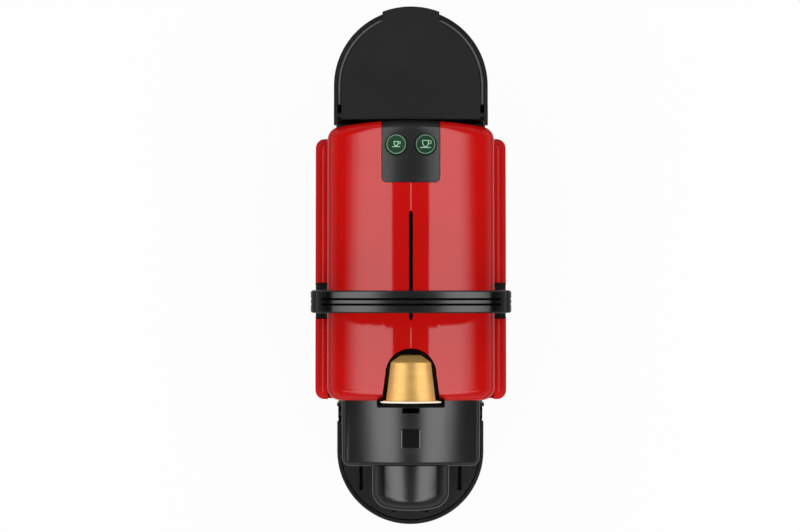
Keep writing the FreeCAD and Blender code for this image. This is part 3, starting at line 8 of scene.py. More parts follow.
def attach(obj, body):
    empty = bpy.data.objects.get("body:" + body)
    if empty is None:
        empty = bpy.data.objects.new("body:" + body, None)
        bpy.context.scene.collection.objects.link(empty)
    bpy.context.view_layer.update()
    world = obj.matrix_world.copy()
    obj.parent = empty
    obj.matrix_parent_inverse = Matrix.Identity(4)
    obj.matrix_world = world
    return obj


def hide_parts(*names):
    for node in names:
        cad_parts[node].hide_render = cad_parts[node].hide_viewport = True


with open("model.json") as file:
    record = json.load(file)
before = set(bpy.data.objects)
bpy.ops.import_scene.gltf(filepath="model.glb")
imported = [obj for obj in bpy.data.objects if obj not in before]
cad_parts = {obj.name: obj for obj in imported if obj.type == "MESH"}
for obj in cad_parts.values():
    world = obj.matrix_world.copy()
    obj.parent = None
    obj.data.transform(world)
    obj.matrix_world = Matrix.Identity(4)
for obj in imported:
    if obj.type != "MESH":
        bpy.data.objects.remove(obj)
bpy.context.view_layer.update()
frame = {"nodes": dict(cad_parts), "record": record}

scene = bpy.context.scene
scene.view_settings.view_transform = "Standard"
nodes = frame["nodes"]
record = frame["record"]
mm = 0.001  # pieces are described in mm, the camera and the lights in metres


# helpers for shader nodes, objects and lamps
def addNode(tree, kind, values=None):
    node = tree.nodes.new("ShaderNode" + kind)
    for socket, value in (values or {}).items():
        node.inputs[socket].default_value = value
    return node


def mapRange(tree, value, given, wanted, smooth=False):
    node = addNode(tree, "MapRange", {"From Min": given[0], "From Max": given[1],
                                      "To Min": wanted[0], "To Max": wanted[1]})
    if smooth:
        node.interpolation_type = "SMOOTHSTEP"
    tree.links.new(value, node.inputs["Value"])
    return node.outputs["Result"]


def largerOf(tree, first, second):
    node = addNode(tree, "Math")
    node.operation = "MAXIMUM"
    tree.links.new(first, node.inputs[0])
    tree.links.new(second, node.inputs[1])
    return node.outputs[0]


def meshObject(name, bm, material):
    mesh = bpy.data.meshes.new(name)
    bm.to_mesh(mesh)
    bm.free()
    mesh.materials.append(material)
    piece = bpy.data.objects.new(name, mesh)
    scene.collection.objects.link(piece)
    return piece


def areaLamp(name, width, length, power):
    data = bpy.data.lights.new(name, "AREA")
    data.shape = "RECTANGLE"
    data.size, data.size_y = width, length
    data.energy = power
    lamp = bpy.data.objects.new(name, data)
    scene.collection.objects.link(lamp)
    return lamp


# camera straight above, as in the photograph
shot = {
    "imageWidth": 800,
    "focalPixels": 4718,
    "sensor": 36.0,
    "place": (-0.0066, 0.0037, 3.07),
    "clipEnd": 50,
}


def makeCamera():
    data = bpy.data.cameras.new("topCamera")
    data.sensor_fit = "HORIZONTAL"
    data.sensor_width = shot["sensor"]
    data.lens = shot["focalPixels"] / shot["imageWidth"] * shot["sensor"]
    data.clip_end = shot["clipEnd"]
    camera = bpy.data.objects.new("topCamera", data)
    camera.location = shot["place"]  # a camera with no turn looks down, with +Y up in the picture
    scene.collection.objects.link(camera)
    scene.camera = camera


# two pairs of long softboxes beside the camera, over a pale floor
light = {
    "boxHeight": 2.2,
    "boxes": {  # the inner edges draw the sharp sides of the shell's stripes
        "rear": {"front": -1.4, "rear": 4.2, "inner": 0.37, "width": 1.25},
        "front": {"front": -4.2, "rear": -1.4, "inner": 0.43, "width": 1.6},
    },
    "boxGlow": 8.0,  # watts for a square metre
    "fadeFrom": 0.5,  # share of the width after which a box dims outwards
    "floorSize": 6.0,
    "floorPaint": 0.93,
    "floorGlow": 0.95,
}

# a room that is pale near the floor and dim overhead
room = {
    "low": 0.35,
    "high": 0.03,
    "fade": (0.1, 0.55),  # upward part of a view's direction
}


def softbox(name, side, box):
    length = box["rear"] - box["front"]
    lamp = areaLamp(name, box["width"], length, light["boxGlow"] * box["width"] * length)
    lamp.location = (side * (box["inner"] + box["width"] / 2), (box["front"] + box["rear"]) / 2,
                     light["boxHeight"])
    lamp.data.use_nodes = True
    tree = lamp.data.node_tree
    glow = next(n for n in tree.nodes if n.type == "EMISSION")
    split = addNode(tree, "SeparateXYZ")
    tree.links.new(addNode(tree, "NewGeometry").outputs["Parametric"], split.inputs[0])
    outwards = (light["fadeFrom"], 1.0) if side > 0 else (1 - light["fadeFrom"], 0.0)
    fade = mapRange(tree, split.outputs["X"], outwards, (1.0, 0.0), smooth=True)
    tree.links.new(fade, glow.inputs["Strength"])
    return lamp


def makeLight():
    made = []
    for name, box in light["boxes"].items():
        made.append(softbox(name + "LeftBox", -1, box))
        made.append(softbox(name + "RightBox", 1, box))
    return made


def makeRoom():
    world = bpy.data.worlds.new("paleRoom")
    world.use_nodes = True
    scene.world = world
    tree = world.node_tree
    background = tree.nodes["Background"]
    background.inputs["Color"].default_value = (1, 1, 1, 1)
    split = addNode(tree, "SeparateXYZ")
    tree.links.new(addNode(tree, "TexCoord").outputs["Generated"], split.inputs[0])
    shades = (room["low"], room["high"])
    glow = mapRange(tree, split.outputs["Z"], room["fade"], shades, smooth=True)
    tree.links.new(glow, background.inputs["Strength"])


def floorFinish():
    material = bpy.data.materials.new("paleFloor")
    material.use_nodes = True
    tree = material.node_tree
    tree.nodes.clear()
    shade = light["floorPaint"]
    paint = addNode(tree, "BsdfDiffuse", {"Color": (shade, shade, shade, 1)})
    glow = addNode(tree, "Emission")
    rays = addNode(tree, "LightPath").outputs
    seen = largerOf(tree, rays["Is Camera Ray"], rays["Is Glossy Ray"])
    seen = largerOf(tree, seen, rays["Is Transmission Ray"])
    share = mapRange(tree, seen, (0.0, 1.0), (0.0, light["floorGlow"]))
    mix = addNode(tree, "MixShader")
    tree.links.new(share, mix.inputs["Fac"])
    tree.links.new(paint.outputs[0], mix.inputs[1])
    tree.links.new(glow.outputs[0], mix.inputs[2])
    tree.links.new(mix.outputs[0], addNode(tree, "OutputMaterial").inputs["Surface"])
    return material


def makeFloor():
    bm = bmesh.new()
    bmesh.ops.create_grid(bm, x_segments=1, y_segments=1, size=light["floorSize"])
    floor = meshObject("floor", bm, floorFinish())


makeCamera()
boxes = makeLight()
makeRoom()
makeFloor()
print("stage ready")


# plastic finishes
finishes = {
    "redGloss": {"colour": (0.6, 0.006, 0.005), "rough": 0.055, "shine": 0.5,
                 "grain": 900, "bump": 0.003, "vary": 0.035},
    "redSide": {"colour": (0.65, 0.009, 0.008), "rough": 0.09, "shine": 0.15,
                "grain": 900, "bump": 0.006, "vary": 0.035},
    "satinBlack": {"colour": (0.007, 0.007, 0.0073), "rough": 0.2, "shine": 0.9,
                   "grain": 2600, "bump": 0.03, "vary": 0.15},
    "matteBlack": {"colour": (0.006, 0.006, 0.006), "rough": 0.5, "shine": 0.3,
                   "grain": 2200, "bump": 0.12, "vary": 0.2},
    "pianoBlack": {"colour": (0.004, 0.004, 0.0044), "rough": 0.2, "shine": 0.8,
                   "grain": 1200, "bump": 0.012, "vary": 0.15},
    "leverBlack": {"colour": (0.001, 0.001, 0.0011), "rough": 0.2, "shine": 0.82,
                   "grain": 1800, "bump": 0.02, "vary": 0.18},
    "panelBlack": {"colour": (0.017, 0.017, 0.0174), "rough": 0.2, "shine": 0.42,
                   "grain": 2600, "bump": 0.03, "vary": 0.12},
    "badgeBlack": {"colour": (0.003, 0.003, 0.0032), "rough": 0.3, "shine": 0.1,
                   "grain": 2600, "bump": 0.03, "vary": 0.15},
    "lidGrey": {"colour": (0.0145, 0.0145, 0.015), "rough": 0.5, "shine": 0.12,
                "grain": 3200, "bump": 0.12, "vary": 0.12},
    # painted shade: black plastic darkened to near-black and matte, for the shade inside the pod
    # slot and on the lever's groove floors
    "paintedShadeBlack": {"colour": (0.0015, 0.0015, 0.0015), "rough": 0.7, "shine": 0.03,
                  "grain": 2200, "bump": 0.12, "vary": 0.2},
    # painted highlight: pale grey for the light on the tank wall's inner edge
    "rimHighlightGrey": {"colour": (0.15, 0.15, 0.15), "rough": 0.3, "shine": 0.6,
                 "grain": 900, "bump": 0.03, "vary": 0.1},
    # painted highlight: pale grey for the light on the badge plate's edges
    "edgeHighlightGrey": {"colour": (0.2, 0.2, 0.2), "rough": 0.3, "shine": 0.8,
                 "grain": 1200, "bump": 0.03, "vary": 0.15},
    "framePlastic": {"colour": (0.03, 0.03, 0.031), "rough": 0.55, "shine": 0.4,
                     "grain": 1500, "bump": 0.1, "vary": 0.2},
    "softRubber": {"colour": (0.015, 0.015, 0.015), "rough": 0.8, "shine": 0.3,
                   "grain": 1800, "bump": 0.2, "vary": 0.3},
    "milkySilicone": {"colour": (0.62, 0.6, 0.55), "rough": 0.4, "shine": 0.5,
                      "grain": 700, "bump": 0.06, "vary": 0.1},
    "circuitBoard": {"colour": (0.015, 0.12, 0.04), "rough": 0.35, "shine": 0.5,
                     "grain": 420, "bump": 0.1, "vary": 0.5},
    "buttonGreen": {"colour": (0.012, 0.05, 0.024), "rough": 0.34, "shine": 0.12,
                    "grain": 1400, "bump": 0.05, "vary": 0.3},
    "rimCream": {"colour": (0.78, 0.7, 0.58), "rough": 0.32, "shine": 0.5,
                 "grain": 1600, "bump": 0.03, "vary": 0.06},
    "mintMark": {"colour": (0.42, 0.72, 0.46), "rough": 0.4, "shine": 0.3,
                 "grain": 1600, "bump": 0.02, "vary": 0.06},
    "mintRing": {"colour": (0.3, 0.46, 0.34), "rough": 0.4, "shine": 0.2,
                 "grain": 1600, "bump": 0.02, "vary": 0.1},
}
metals = {
    "brushedSteel": {"colour": (0.6, 0.6, 0.61), "rough": 0.28, "metal": 1.0,
                     "stretch": (1, 30, 30), "vary": 0.12},
    "castAlloy": {"colour": (0.55, 0.55, 0.56), "rough": 0.45, "metal": 1.0,
                  "stretch": (1, 1, 1), "vary": 0.12},
    "goldLacquer": {"colour": (0.93, 0.55, 0.175), "rough": 0.34, "metal": 0.7,
                    "stretch": (1, 3, 1), "vary": 0.03},
}

# clouds that vary colour and roughness: stops on the colour ramp, and shares of the roughness
plasticCloud = {"scale": 38, "detail": 4, "stops": (0.3, 0.7), "roughSpread": (0.85, 1.2)}
metalCloud = {"scale": 160, "detail": 5, "stops": (0.0, 1.0), "roughSpread": (0.75, 1.35)}
plasticGrain = {"detail": 3, "depth": 0.2 * mm}

# finishes with less gloss where the surface turns away
fadingGloss = {"redGloss", "redSide", "satinBlack", "pianoBlack", "leverBlack", "panelBlack"}
glossFade = {"blend": 0.5, "turn": (0.12, 0.5), "left": 0.04}


def newFinish(name):
    material = bpy.data.materials.new(name)
    material.use_nodes = True
    tree = material.node_tree
    return material, tree, tree.nodes["Principled BSDF"]


def noise(tree, place, scale, detail):
    node = addNode(tree, "TexNoise", {"Scale": scale, "Detail": detail})
    tree.links.new(place, node.inputs["Vector"])
    return node.outputs["Fac"]


def varyFinish(tree, shader, place, look, cloud):
    pattern = noise(tree, place, cloud["scale"], cloud["detail"])
    tint = addNode(tree, "ValToRGB")
    shares = (1 - look["vary"], 1 + look["vary"])
    for stop, spot, share in zip(tint.color_ramp.elements, cloud["stops"], shares):
        stop.position = spot
        stop.color = (*(min(1, c * share) for c in look["colour"]), 1)
    tree.links.new(pattern, tint.inputs["Fac"])
    tree.links.new(tint.outputs["Color"], shader.inputs["Base Color"])
    rough = [min(1, look["rough"] * share) for share in cloud["roughSpread"]]
    tree.links.new(mapRange(tree, pattern, (0.0, 1.0), rough), shader.inputs["Roughness"])


def fadeGloss(tree, shader, shine):
    facing = addNode(tree, "LayerWeight", {"Blend": glossFade["blend"]})
    sheen = mapRange(tree, facing.outputs["Facing"], glossFade["turn"],
                     (shine, shine * glossFade["left"]))
    tree.links.new(sheen, shader.inputs["Specular IOR Level"])


def mouldedPlastic(name):
    look = finishes[name]
    material, tree, shader = newFinish(name)
    shader.inputs["Specular IOR Level"].default_value = look["shine"]
    if name in fadingGloss:
        fadeGloss(tree, shader, look["shine"])
    place = addNode(tree, "TexCoord").outputs["Object"]
    varyFinish(tree, shader, place, look, plasticCloud)
    grain = noise(tree, place, look["grain"], plasticGrain["detail"])
    bump = addNode(tree, "Bump", {"Strength": look["bump"], "Distance": plasticGrain["depth"]})
    tree.links.new(grain, bump.inputs["Height"])
    tree.links.new(bump.outputs["Normal"], shader.inputs["Normal"])
    return material


def metalFinish(name):
    look = metals[name]
    material, tree, shader = newFinish(name)
    shader.inputs["Metallic"].default_value = look["metal"]
    brushed = addNode(tree, "Mapping", {"Scale": look["stretch"]})
    tree.links.new(addNode(tree, "TexCoord").outputs["Object"], brushed.inputs["Vector"])
    varyFinish(tree, shader, brushed.outputs["Vector"], look, metalCloud)
    return material


palette = {name: mouldedPlastic(name) for name in finishes}
palette.update({name: metalFinish(name) for name in metals})
print("finishes ready")


# which finish each of the record's material slots wears
slotFinish = {
    "red_shell": "redGloss", "black_plastic": "matteBlack", "satin_black": "satinBlack",
    "gloss_black": "pianoBlack", "lid_grey": "lidGrey", "button_green": "buttonGreen",
    "pod_gold": "goldLacquer", "steel": "brushedSteel", "rubber": "softRubber",
    "silicone": "milkySilicone", "frame_plastic": "framePlastic", "board": "circuitBoard",
    "heater_metal": "castAlloy",
}
nodeFinish = {  # nodes that look different from the rest of their slot
    "lever_handle": "leverBlack", "control_panel": "panelBlack", "badge_plate": "badgeBlack",
    # the pod slot's inner parts are their own black plastic, darkened further as painted shade of
    # the slot's depth
    "right_side_cover": "redSide", "left_side_cover": "redSide", "pod_chute": "paintedShadeBlack",
    "extraction_plate": "paintedShadeBlack", "brew_cage": "paintedShadeBlack", "coffee_duct": "paintedShadeBlack",
}
slotOf = {part["node"]: part["material_slot"] for part in record["subparts"]}


def finishOf(name):
    return palette[nodeFinish.get(name, slotFinish[slotOf[name]])]


def dressNodes():
    for name, node in nodes.items():
        node.data.materials.clear()
        node.data.materials.append(finishOf(name))


dressNodes()
print("solids dressed")


# shells that show get smooth faces and softened edges of these widths
shells = {
    "top_cover": 0.3, "right_side_cover": 0.08, "left_side_cover": 0.08, "lever_handle": 0.5,
    "pod_chute": 0.35, "control_panel": 0.35, "front_hood": 0.5, "nose_shell": 0.5, "tank": 0.5,
    "tank_lid": 0.6, "drip_tray": 0.5, "drip_grid": 0.35, "pod_container": 0.5, "base": 0.6,
    "front_panel": 0.4, "rear_panel": 0.4, "right_lever_socket": 0.25, "left_lever_socket": 0.25,
    "badge_plate": 0.15, "coffee_outlet": 0.3,
}
shellMesh = {
    "mergeGap": 0.01,
    "flatAngle": 0.6,  # degrees under which facets become one face
    "sliver": 0.05,  # shorter edges are merged after a reshape
    "crease": 28,  # degrees from which an edge stays sharp and is softened
}
edgeSegments = 2

# forms of three shells that go further than their solids
leverForm = {
    "pivot": (-17.6, 188.0),  # Y and Z of the lever's axis
    # share of the depth that is kept outside the hub
    "slim": 0.844, "hubFrom": 5.0, "hubTo": 7.5,
    # where the floors of the two grooves are, and where their painted shade ends
    "grooveStep": 1.9, "grooveHalf": 0.5, "grooveTilt": 0.5, "grooveEnd": 53.0,
    # depth on the arch, depth on the legs, and the heights between them
    "grooveDeep": 1.2, "grooveShallow": 0.15, "fadeLow": 250.0, "fadeHigh": 267.0,
    # drop of the arch for the cube of the distance from its middle
    "bend": 0.00002, "bendLow": 225.0, "bendHigh": 255.0, "bendSide": 52.0,
}
noseForm = {
    "half": 23.7, "rear": -119.0, "front": -147.0, "low": 133.0, "high": 160.0,
    # drop at the sides and at the front, and how the lip curves back at the sides and reaches out
    "crown": 5.4, "fall": 6.0, "bow": 4.0, "reach": 2.2,
    # cuts that let the flat solid bend
    "cutStep": 2.0, "cutsBeside": 12, "cutsAhead": 13,
}
slotForm = {  # the crown slot, and the share of its width that is kept
    "half": 2.02, "front": -31.0, "rear": 39.0, "low": 150.0, "slim": 0.6,
}


def shareOf(low, high, value):
    return min(1, max(0, (value - low) / (high - low)))


def smoothStep(low, high, value):
    share = shareOf(low, high, value)
    return share * share * (3 - 2 * share)


def fillGrooves(bm, form):
    pushes = {}
    for face in bm.faces:
        middle = face.calc_center_median()
        offset = abs(middle.y / mm - form["pivot"][0])
        beside = abs(offset - form["grooveStep"]) < form["grooveHalf"]
        if beside and abs(face.normal.y) < form["grooveTilt"]:
            # groove floors on the arch take the second material, painted shade
            face.material_index = int(abs(middle.x) < form["grooveEnd"] * mm)
            for v in face.verts:
                pushes[v] = pushes.get(v, Vector()) + Vector((face.normal.x, 0, face.normal.z))
    for v, way in pushes.items():  # the grooves run out on the lever's legs
        fade = 1 - smoothStep(form["fadeLow"], form["fadeHigh"], v.co.z / mm)
        v.co += way.normalized() * (form["grooveDeep"] - form["grooveShallow"]) * fade * mm


def slimLever(bm):
    form = leverForm
    across, height = form["pivot"]
    bm.normal_update()
    fillGrooves(bm, form)
    for v in bm.verts:
        y, z = v.co.y / mm - across, v.co.z / mm - height
        thin = smoothStep(form["hubFrom"], form["hubTo"], math.hypot(y, z))
        slim = 1 - (1 - form["slim"]) * thin
        v.co.y = (across + y * slim) * mm
        rise = smoothStep(form["bendLow"], form["bendHigh"], v.co.z / mm)
        side = min(abs(v.co.x) / mm, form["bendSide"])
        v.co.z -= rise * form["bend"] * side ** 3 * mm  # a rounder arch


def crownNose(bm):
    form = noseForm
    rear, step, beside = form["rear"], form["cutStep"], form["cutsBeside"]
    cuts = [((x * step, 0, 0), (1, 0, 0)) for x in range(-beside, beside + 1)]
    cuts += [((0, rear - (y + 1) * step, 0), (0, 1, 0)) for y in range(form["cutsAhead"])]
    for spot, way in cuts:
        bmesh.ops.bisect_plane(bm, geom=bm.verts[:] + bm.edges[:] + bm.faces[:],
                               plane_co=Vector(spot) * mm, plane_no=way)
    for v in bm.verts:
        x, y, z = v.co / mm
        side = (x / form["half"]) ** 2
        ahead = shareOf(rear, form["front"], y)
        lift = shareOf(form["low"], form["high"], z)
        v.co.z -= lift * (form["crown"] * side + form["fall"] * ahead ** 2) * mm
        v.co.y += (form["bow"] * side - form["reach"]) * ahead * mm


def slimSlot(bm):
    form = slotForm
    for v in bm.verts:
        x, y, z = v.co / mm
        if abs(x) < form["half"] and form["front"] < y < form["rear"] and z > form["low"]:
            v.co.x *= form["slim"]


reshape = {"lever_handle": slimLever, "nose_shell": crownNose, "top_cover": slimSlot}


def bodyOf(node):
    groups = record["behaviour"]["bodies"]
    return next(body for body, members in groups.items() if node in members)


def addPiece(name, bm, material, body):
    piece = meshObject(name, bm, material)
    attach(piece, body)
    return piece


def smoothFaces(bm, crease):
    for face in bm.faces:
        face.smooth = True
    for line in bm.edges:
        line.smooth = line.is_manifold and line.calc_face_angle(0) < math.radians(crease)


def softShell(node, edge):
    sliver = shellMesh["sliver"] * mm
    bm = bmesh.new()
    bm.from_mesh(nodes[node].data)
    bmesh.ops.remove_doubles(bm, verts=bm.verts, dist=shellMesh["mergeGap"] * mm)
    bmesh.ops.dissolve_limit(bm, angle_limit=math.radians(shellMesh["flatAngle"]), verts=bm.verts,
                             edges=bm.edges)
    if node in reshape:
        reshape[node](bm)
        bmesh.ops.remove_doubles(bm, verts=bm.verts, dist=sliver)
        bmesh.ops.dissolve_degenerate(bm, dist=sliver, edges=bm.edges)
    smoothFaces(bm, shellMesh["crease"])
    piece = addPiece(node + "Shell", bm, finishOf(node), bodyOf(node))
    if node == "lever_handle":
        piece.data.materials.append(palette["paintedShadeBlack"])  # groove floors, in painted shade
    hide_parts(node)
    soften = piece.modifiers.new("softEdges", "BEVEL")
    soften.width = edge * mm
    soften.segments = edgeSegments
    soften.limit_method = "ANGLE"
    soften.angle_limit = math.radians(shellMesh["crease"])
    soften.harden_normals = True


for node, edge in shells.items():
    softShell(node, edge)
print("shells ready")


# round pieces are spun from a half profile
roundMesh = {"steps": 72, "mergeGap": 0.002, "crease": 30}


def mergeRound(bm):
    bmesh.ops.remove_doubles(bm, verts=bm.verts, dist=roundMesh["mergeGap"] * mm)
    bmesh.ops.recalc_face_normals(bm, faces=bm.faces)


def spinProfile(bm, profile):
    line = [bm.verts.new((x * mm, 0, z * mm)) for x, z in profile]
    edges = [bm.edges.new(pair) for pair in zip(line, line[1:])]
    bmesh.ops.spin(bm, geom=line + edges, cent=(0, 0, 0), axis=(0, 0, 1), angle=math.tau,
                   steps=roundMesh["steps"], use_merge=True)
    mergeRound(bm)


def pullFaces(bm, faces, way, keep=False):
    grown = bmesh.ops.extrude_face_region(bm, geom=faces, use_keep_orig=keep)
    moved = [v for v in grown["geom"] if isinstance(v, bmesh.types.BMVert)]
    bmesh.ops.translate(bm, vec=way, verts=moved)


# pod: a lacquered cup with a rolled shoulder, and a pale rim
pod = {
    "axisHeight": 196.0,
    "cup": ((0, -79.3), (15.0, -79.3), (15.3, -78.6), (15.05, -77.9),
            (12.25, -55.6), (12.1, -55.0), (11.6, -54.5), (7.2, -51.4),
            (6.3, -50.9), (5.2, -50.6), (4.6, -50.9), (3.4, -51.05), (0, -51.1)),
    "rim": ((14.2, -78.7), (14.2, -79.45), (15.2, -79.6), (17.6, -79.6), (18.3, -79.55),
            (18.5, -79.3), (18.5, -78.75), (18.3, -78.45), (17.6, -78.4), (15.6, -78.4),
            (14.2, -78.7)),
    "finish": {"cup": "goldLacquer", "rim": "rimCream"},
    "crease": 40,
}
# two lamps for the pod alone, because the slot's walls shade it from the softboxes
podLight = {
    "aim": (0, -0.066, 0.205),
    "lean": 60,  # degrees from upright
    "away": 2.0,
    "size": (1.6, 1.6),
    "power": 74,
}


def podLamp(side, lit):
    lean = math.radians(podLight["lean"])
    way = Vector((side * math.sin(lean), 0, math.cos(lean)))
    lamp = areaLamp("podLamp", *podLight["size"], podLight["power"])
    lamp.location = Vector(podLight["aim"]) + way * podLight["away"]
    lamp.rotation_euler = way.to_track_quat("Z", "Y").to_euler()
    lamp.light_linking.receiver_collection = lit
    lamp.light_linking.blocker_collection = lit


def lightPod(pieces):
    lit = bpy.data.collections.new("podOnly")
    unlit = bpy.data.collections.new("allButPod")
    for piece in pieces:
        lit.objects.link(piece)
        unlit.objects.link(piece)
    for side in (-1, 1):
        podLamp(side, lit)
    for link in unlit.collection_objects:
        link.light_linking.link_state = "EXCLUDE"
    for box in boxes:
        box.light_linking.receiver_collection = unlit


def makePod():
    turn = Matrix.Rotation(math.radians(-90), 4, "X")
    stand = Matrix.Translation((0, 0, pod["axisHeight"] * mm)) @ turn
    pieces = []
    for name, finish in pod["finish"].items():
        bm = bmesh.new()
        spinProfile(bm, pod[name])
        bmesh.ops.transform(bm, matrix=stand, verts=bm.verts)
        smoothFaces(bm, pod["crease"])
        piece = addPiece("pod" + name.capitalize(), bm, palette[finish], "coffee_pod")
        if name == "cup":
            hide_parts("pod")
        pieces.append(piece)
    lightPod(pieces)


makePod()
print("pod ready")


# buttons: a crowned cap on a collar and stem, with a pale ring and a cup drawn in it
button = {
    "across": 8.9,
    "rearward": 77.488,
    "height": 213.763,
    "slope": -6,
    "profile": ((0, 0), (5.3, -0.05), (5.9, -0.15), (6.3, -0.45), (6.45, -0.9), (6.45, -3),
                (6, -3.2), (6, -5), (4.4, -5), (4.4, -6.5), (7.6, -6.5), (7.6, -8.1),
                (2, -8.1), (2, -9), (0, -9)),
    "ringOuter": 5.75,
    "ringStroke": 0.3,
    "ringHeights": (-0.3, -0.03),  # from the crown of the cap
    "cupHeights": (-0.2, 0.05),
}
cups = {
    "espresso": {"side": -1, "body": "short_cup_button", "width": 3.0, "foot": 1.6, "tall": 2.9,
                 "saucer": 4.7, "low": -1.1},
    "lungo": {"side": 1, "body": "long_cup_button", "width": 4.1, "foot": 2.2, "tall": 4.1,
              "saucer": 6.6, "low": -1.6},
}
cupDrawing = {
    "stroke": 0.45,
    "handleOut": 0.45,
    "handleSteps": 24,
    "shoulder": 0.55,  # this and the next two are shares of the cup's height
    "handleDrop": 0.32,
    "handleRadius": 0.28,
    "handleStroke": 0.8,  # this and the next are in strokes
    "saucerUnder": (1.5, 0.5),
}


def flatFace(bm, corners):
    face = bm.faces.new([bm.verts.new((x * mm, y * mm, 0)) for x, y in corners])
    face.normal_update()
    return face


def hollowFace(bm, face, stroke):
    bmesh.ops.inset_region(bm, faces=[face], thickness=stroke * mm, use_boundary=True,
                           use_even_offset=True)
    bmesh.ops.delete(bm, geom=[face], context="FACES_ONLY")


def strokeRing(bm, x, y, radius, stroke, steps):
    made = bmesh.ops.create_circle(bm, cap_ends=True, segments=steps, radius=radius * mm,
                                   matrix=Matrix.Translation((x * mm, y * mm, 0)))
    hollowFace(bm, next(iter(made["verts"][0].link_faces)), stroke)


def drawCup(bm, cup):
    stroke, tall, low = cupDrawing["stroke"], cup["tall"], cup["low"]
    wide, foot, saucer = cup["width"] / 2, cup["foot"] / 2, cup["saucer"] / 2
    top, shoulder = low + tall, low + tall * cupDrawing["shoulder"]
    outline = ((-foot, low), (foot, low), (wide, shoulder), (wide, top), (-wide, top),
               (-wide, shoulder))
    hollowFace(bm, flatFace(bm, outline), stroke)
    strokeRing(bm, wide + cupDrawing["handleOut"], top - tall * cupDrawing["handleDrop"],
               tall * cupDrawing["handleRadius"], stroke * cupDrawing["handleStroke"],
               cupDrawing["handleSteps"])
    lower, upper = (low - stroke * share for share in cupDrawing["saucerUnder"])
    flatFace(bm, ((-saucer, lower), (saucer, lower), (saucer, upper), (-saucer, upper)))


def raiseMarks(bm, low, high):
    bmesh.ops.translate(bm, vec=(0, 0, low * mm), verts=bm.verts)
    pullFaces(bm, bm.faces[:], (0, 0, (high - low) * mm), keep=True)
    bmesh.ops.recalc_face_normals(bm, faces=bm.faces)


def makeButtons():
    tilt = Matrix.Rotation(math.radians(button["slope"]), 4, "X")
    for name, cup in cups.items():
        place = (cup["side"] * button["across"], button["rearward"], button["height"])
        spot = Matrix.Translation([length * mm for length in place]) @ tilt
        cap, ring, mark = bmesh.new(), bmesh.new(), bmesh.new()
        spinProfile(cap, button["profile"])
        smoothFaces(cap, roundMesh["crease"])
        strokeRing(ring, 0, 0, button["ringOuter"], button["ringStroke"], roundMesh["steps"])
        raiseMarks(ring, *button["ringHeights"])
        drawCup(mark, cup)
        raiseMarks(mark, *button["cupHeights"])
        for part, bm, finish in (("Cap", cap, "buttonGreen"), ("Ring", ring, "mintRing"),
                                 ("Cup", mark, "mintMark")):
            bmesh.ops.transform(bm, matrix=spot, verts=bm.verts)
            piece = addPiece(name + part, bm, palette[finish], cup["body"])
            if part == "Cap":
                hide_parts(name + "_button")


makeButtons()
print("buttons ready")


# badge: two slim pale bars beside the plate, painted highlights for the light on the plate's
# edges
badge = {
    "middle": (0, -102.231, 177.809),
    "slope": 24,
    "plateWidth": 10.5,
    "barWidth": 0.5,
    "barLength": 12.4,
    "barRise": 0.35,
    "barEdge": 0.08,
}


def makeBadgeEdgeHighlights():
    turn = Matrix.Rotation(math.radians(badge["slope"]), 4, "X")
    place = Matrix.Translation(Vector(badge["middle"]) * mm) @ turn
    size = Matrix.Diagonal((badge["barWidth"] * mm, badge["barLength"] * mm,
                            badge["barRise"] * 2 * mm, 1))
    bm = bmesh.new()
    for side in (-1, 1):
        across = side * (badge["plateWidth"] + badge["barWidth"]) / 2 * mm
        bar = place @ Matrix.Translation((across, 0, 0)) @ size
        bmesh.ops.create_cube(bm, size=1, matrix=bar)
    bmesh.ops.bevel(bm, geom=bm.edges[:], offset=badge["barEdge"] * mm, offset_type="OFFSET",
                    affect="EDGES", segments=edgeSegments, profile=0.5, material=-1)
    addPiece("badgeEdgeHighlights", bm, palette["edgeHighlightGrey"], "chassis")


makeBadgeEdgeHighlights()


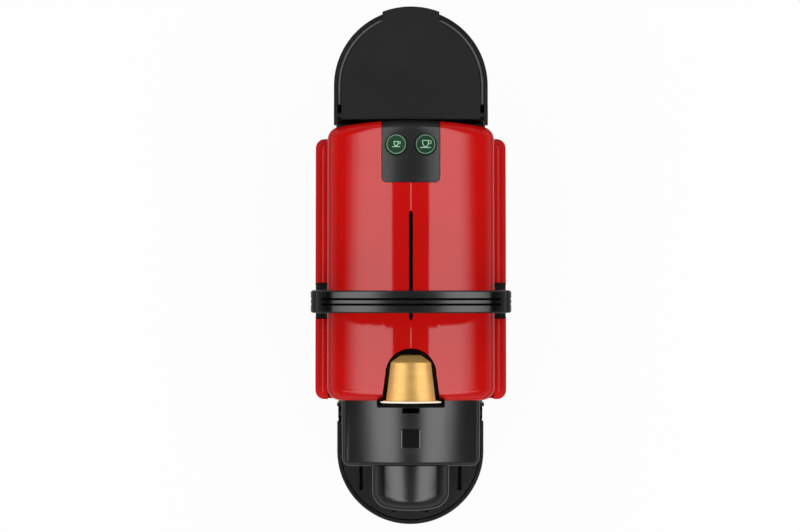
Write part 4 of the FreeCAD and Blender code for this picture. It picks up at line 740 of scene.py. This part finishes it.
# crown beads: the fine ridge that carries the crown slot's line on to the panel and the pod slot
crown = {
    "slope": 6,
    "crestAt": -78.0,
    "crestHeight": 228.6,
    "width": 1.4,
    "rise": 0.06,
    "top": 0.1,  # width at the top, as a share of the width below
    "runs": ((37.2, 54.0), (-45.6, -29.2)),
}


def makeCrownBeads():
    bm = bmesh.new()
    slope = math.radians(crown["slope"])
    tilt = Matrix.Rotation(-slope, 4, "X")
    for front, rear in crown["runs"]:
        middle = (front + rear) / 2
        height = crown["crestHeight"] - (middle - crown["crestAt"]) * math.tan(slope)
        size = Matrix.Diagonal((crown["width"] * mm, (rear - front) * mm,
                                crown["rise"] * 2 * mm, 1))
        corners = bmesh.ops.create_cube(bm, size=1)["verts"]
        for v in corners:  # a roof with shallow sides
            v.co.x *= crown["top"] if v.co.z > 0 else 1
        place = Matrix.Translation((0, middle * mm, height * mm)) @ tilt @ size
        bmesh.ops.transform(bm, matrix=place, verts=corners)
    addPiece("crownBeads", bm, palette["redGloss"], "chassis")


makeCrownBeads()


# tank rim highlight: a pale lip on the tank's ledge round the lid, a painted highlight for the
# light on the tank wall's inner edge
rimHighlight = {
    "inner": 42.9,
    "outer": 44.2,
    "low": 196.6,
    "high": 197.9,
    "centre": 113.3,
    "front": 102.2,
    "steps": 64,
}


def makeRimHighlight():
    bm = bmesh.new()
    inner, outer, low, high = (rimHighlight[key] for key in ("inner", "outer", "low", "high"))
    centre = rimHighlight["centre"] * mm
    profile = ((inner, low), (outer, low), (outer, high), (inner, high))
    start = bm.faces.new([bm.verts.new((x * mm, centre, z * mm)) for x, z in profile])
    bent = bmesh.ops.spin(bm, geom=[start], cent=(0, centre, 0), axis=(0, 0, 1), angle=math.pi,
                          steps=rimHighlight["steps"])
    last = [face for face in bent["geom_last"] if isinstance(face, bmesh.types.BMFace)]
    for end in [start] + last:
        pullFaces(bm, [end], (0, (rimHighlight["front"] - rimHighlight["centre"]) * mm, 0))
        bmesh.ops.delete(bm, geom=[end], context="FACES_ONLY")
    mergeRound(bm)
    smoothFaces(bm, roundMesh["crease"])
    addPiece("tankRimHighlight", bm, palette["rimHighlightGrey"], "water_tank")


makeRimHighlight()
print("trim ready")
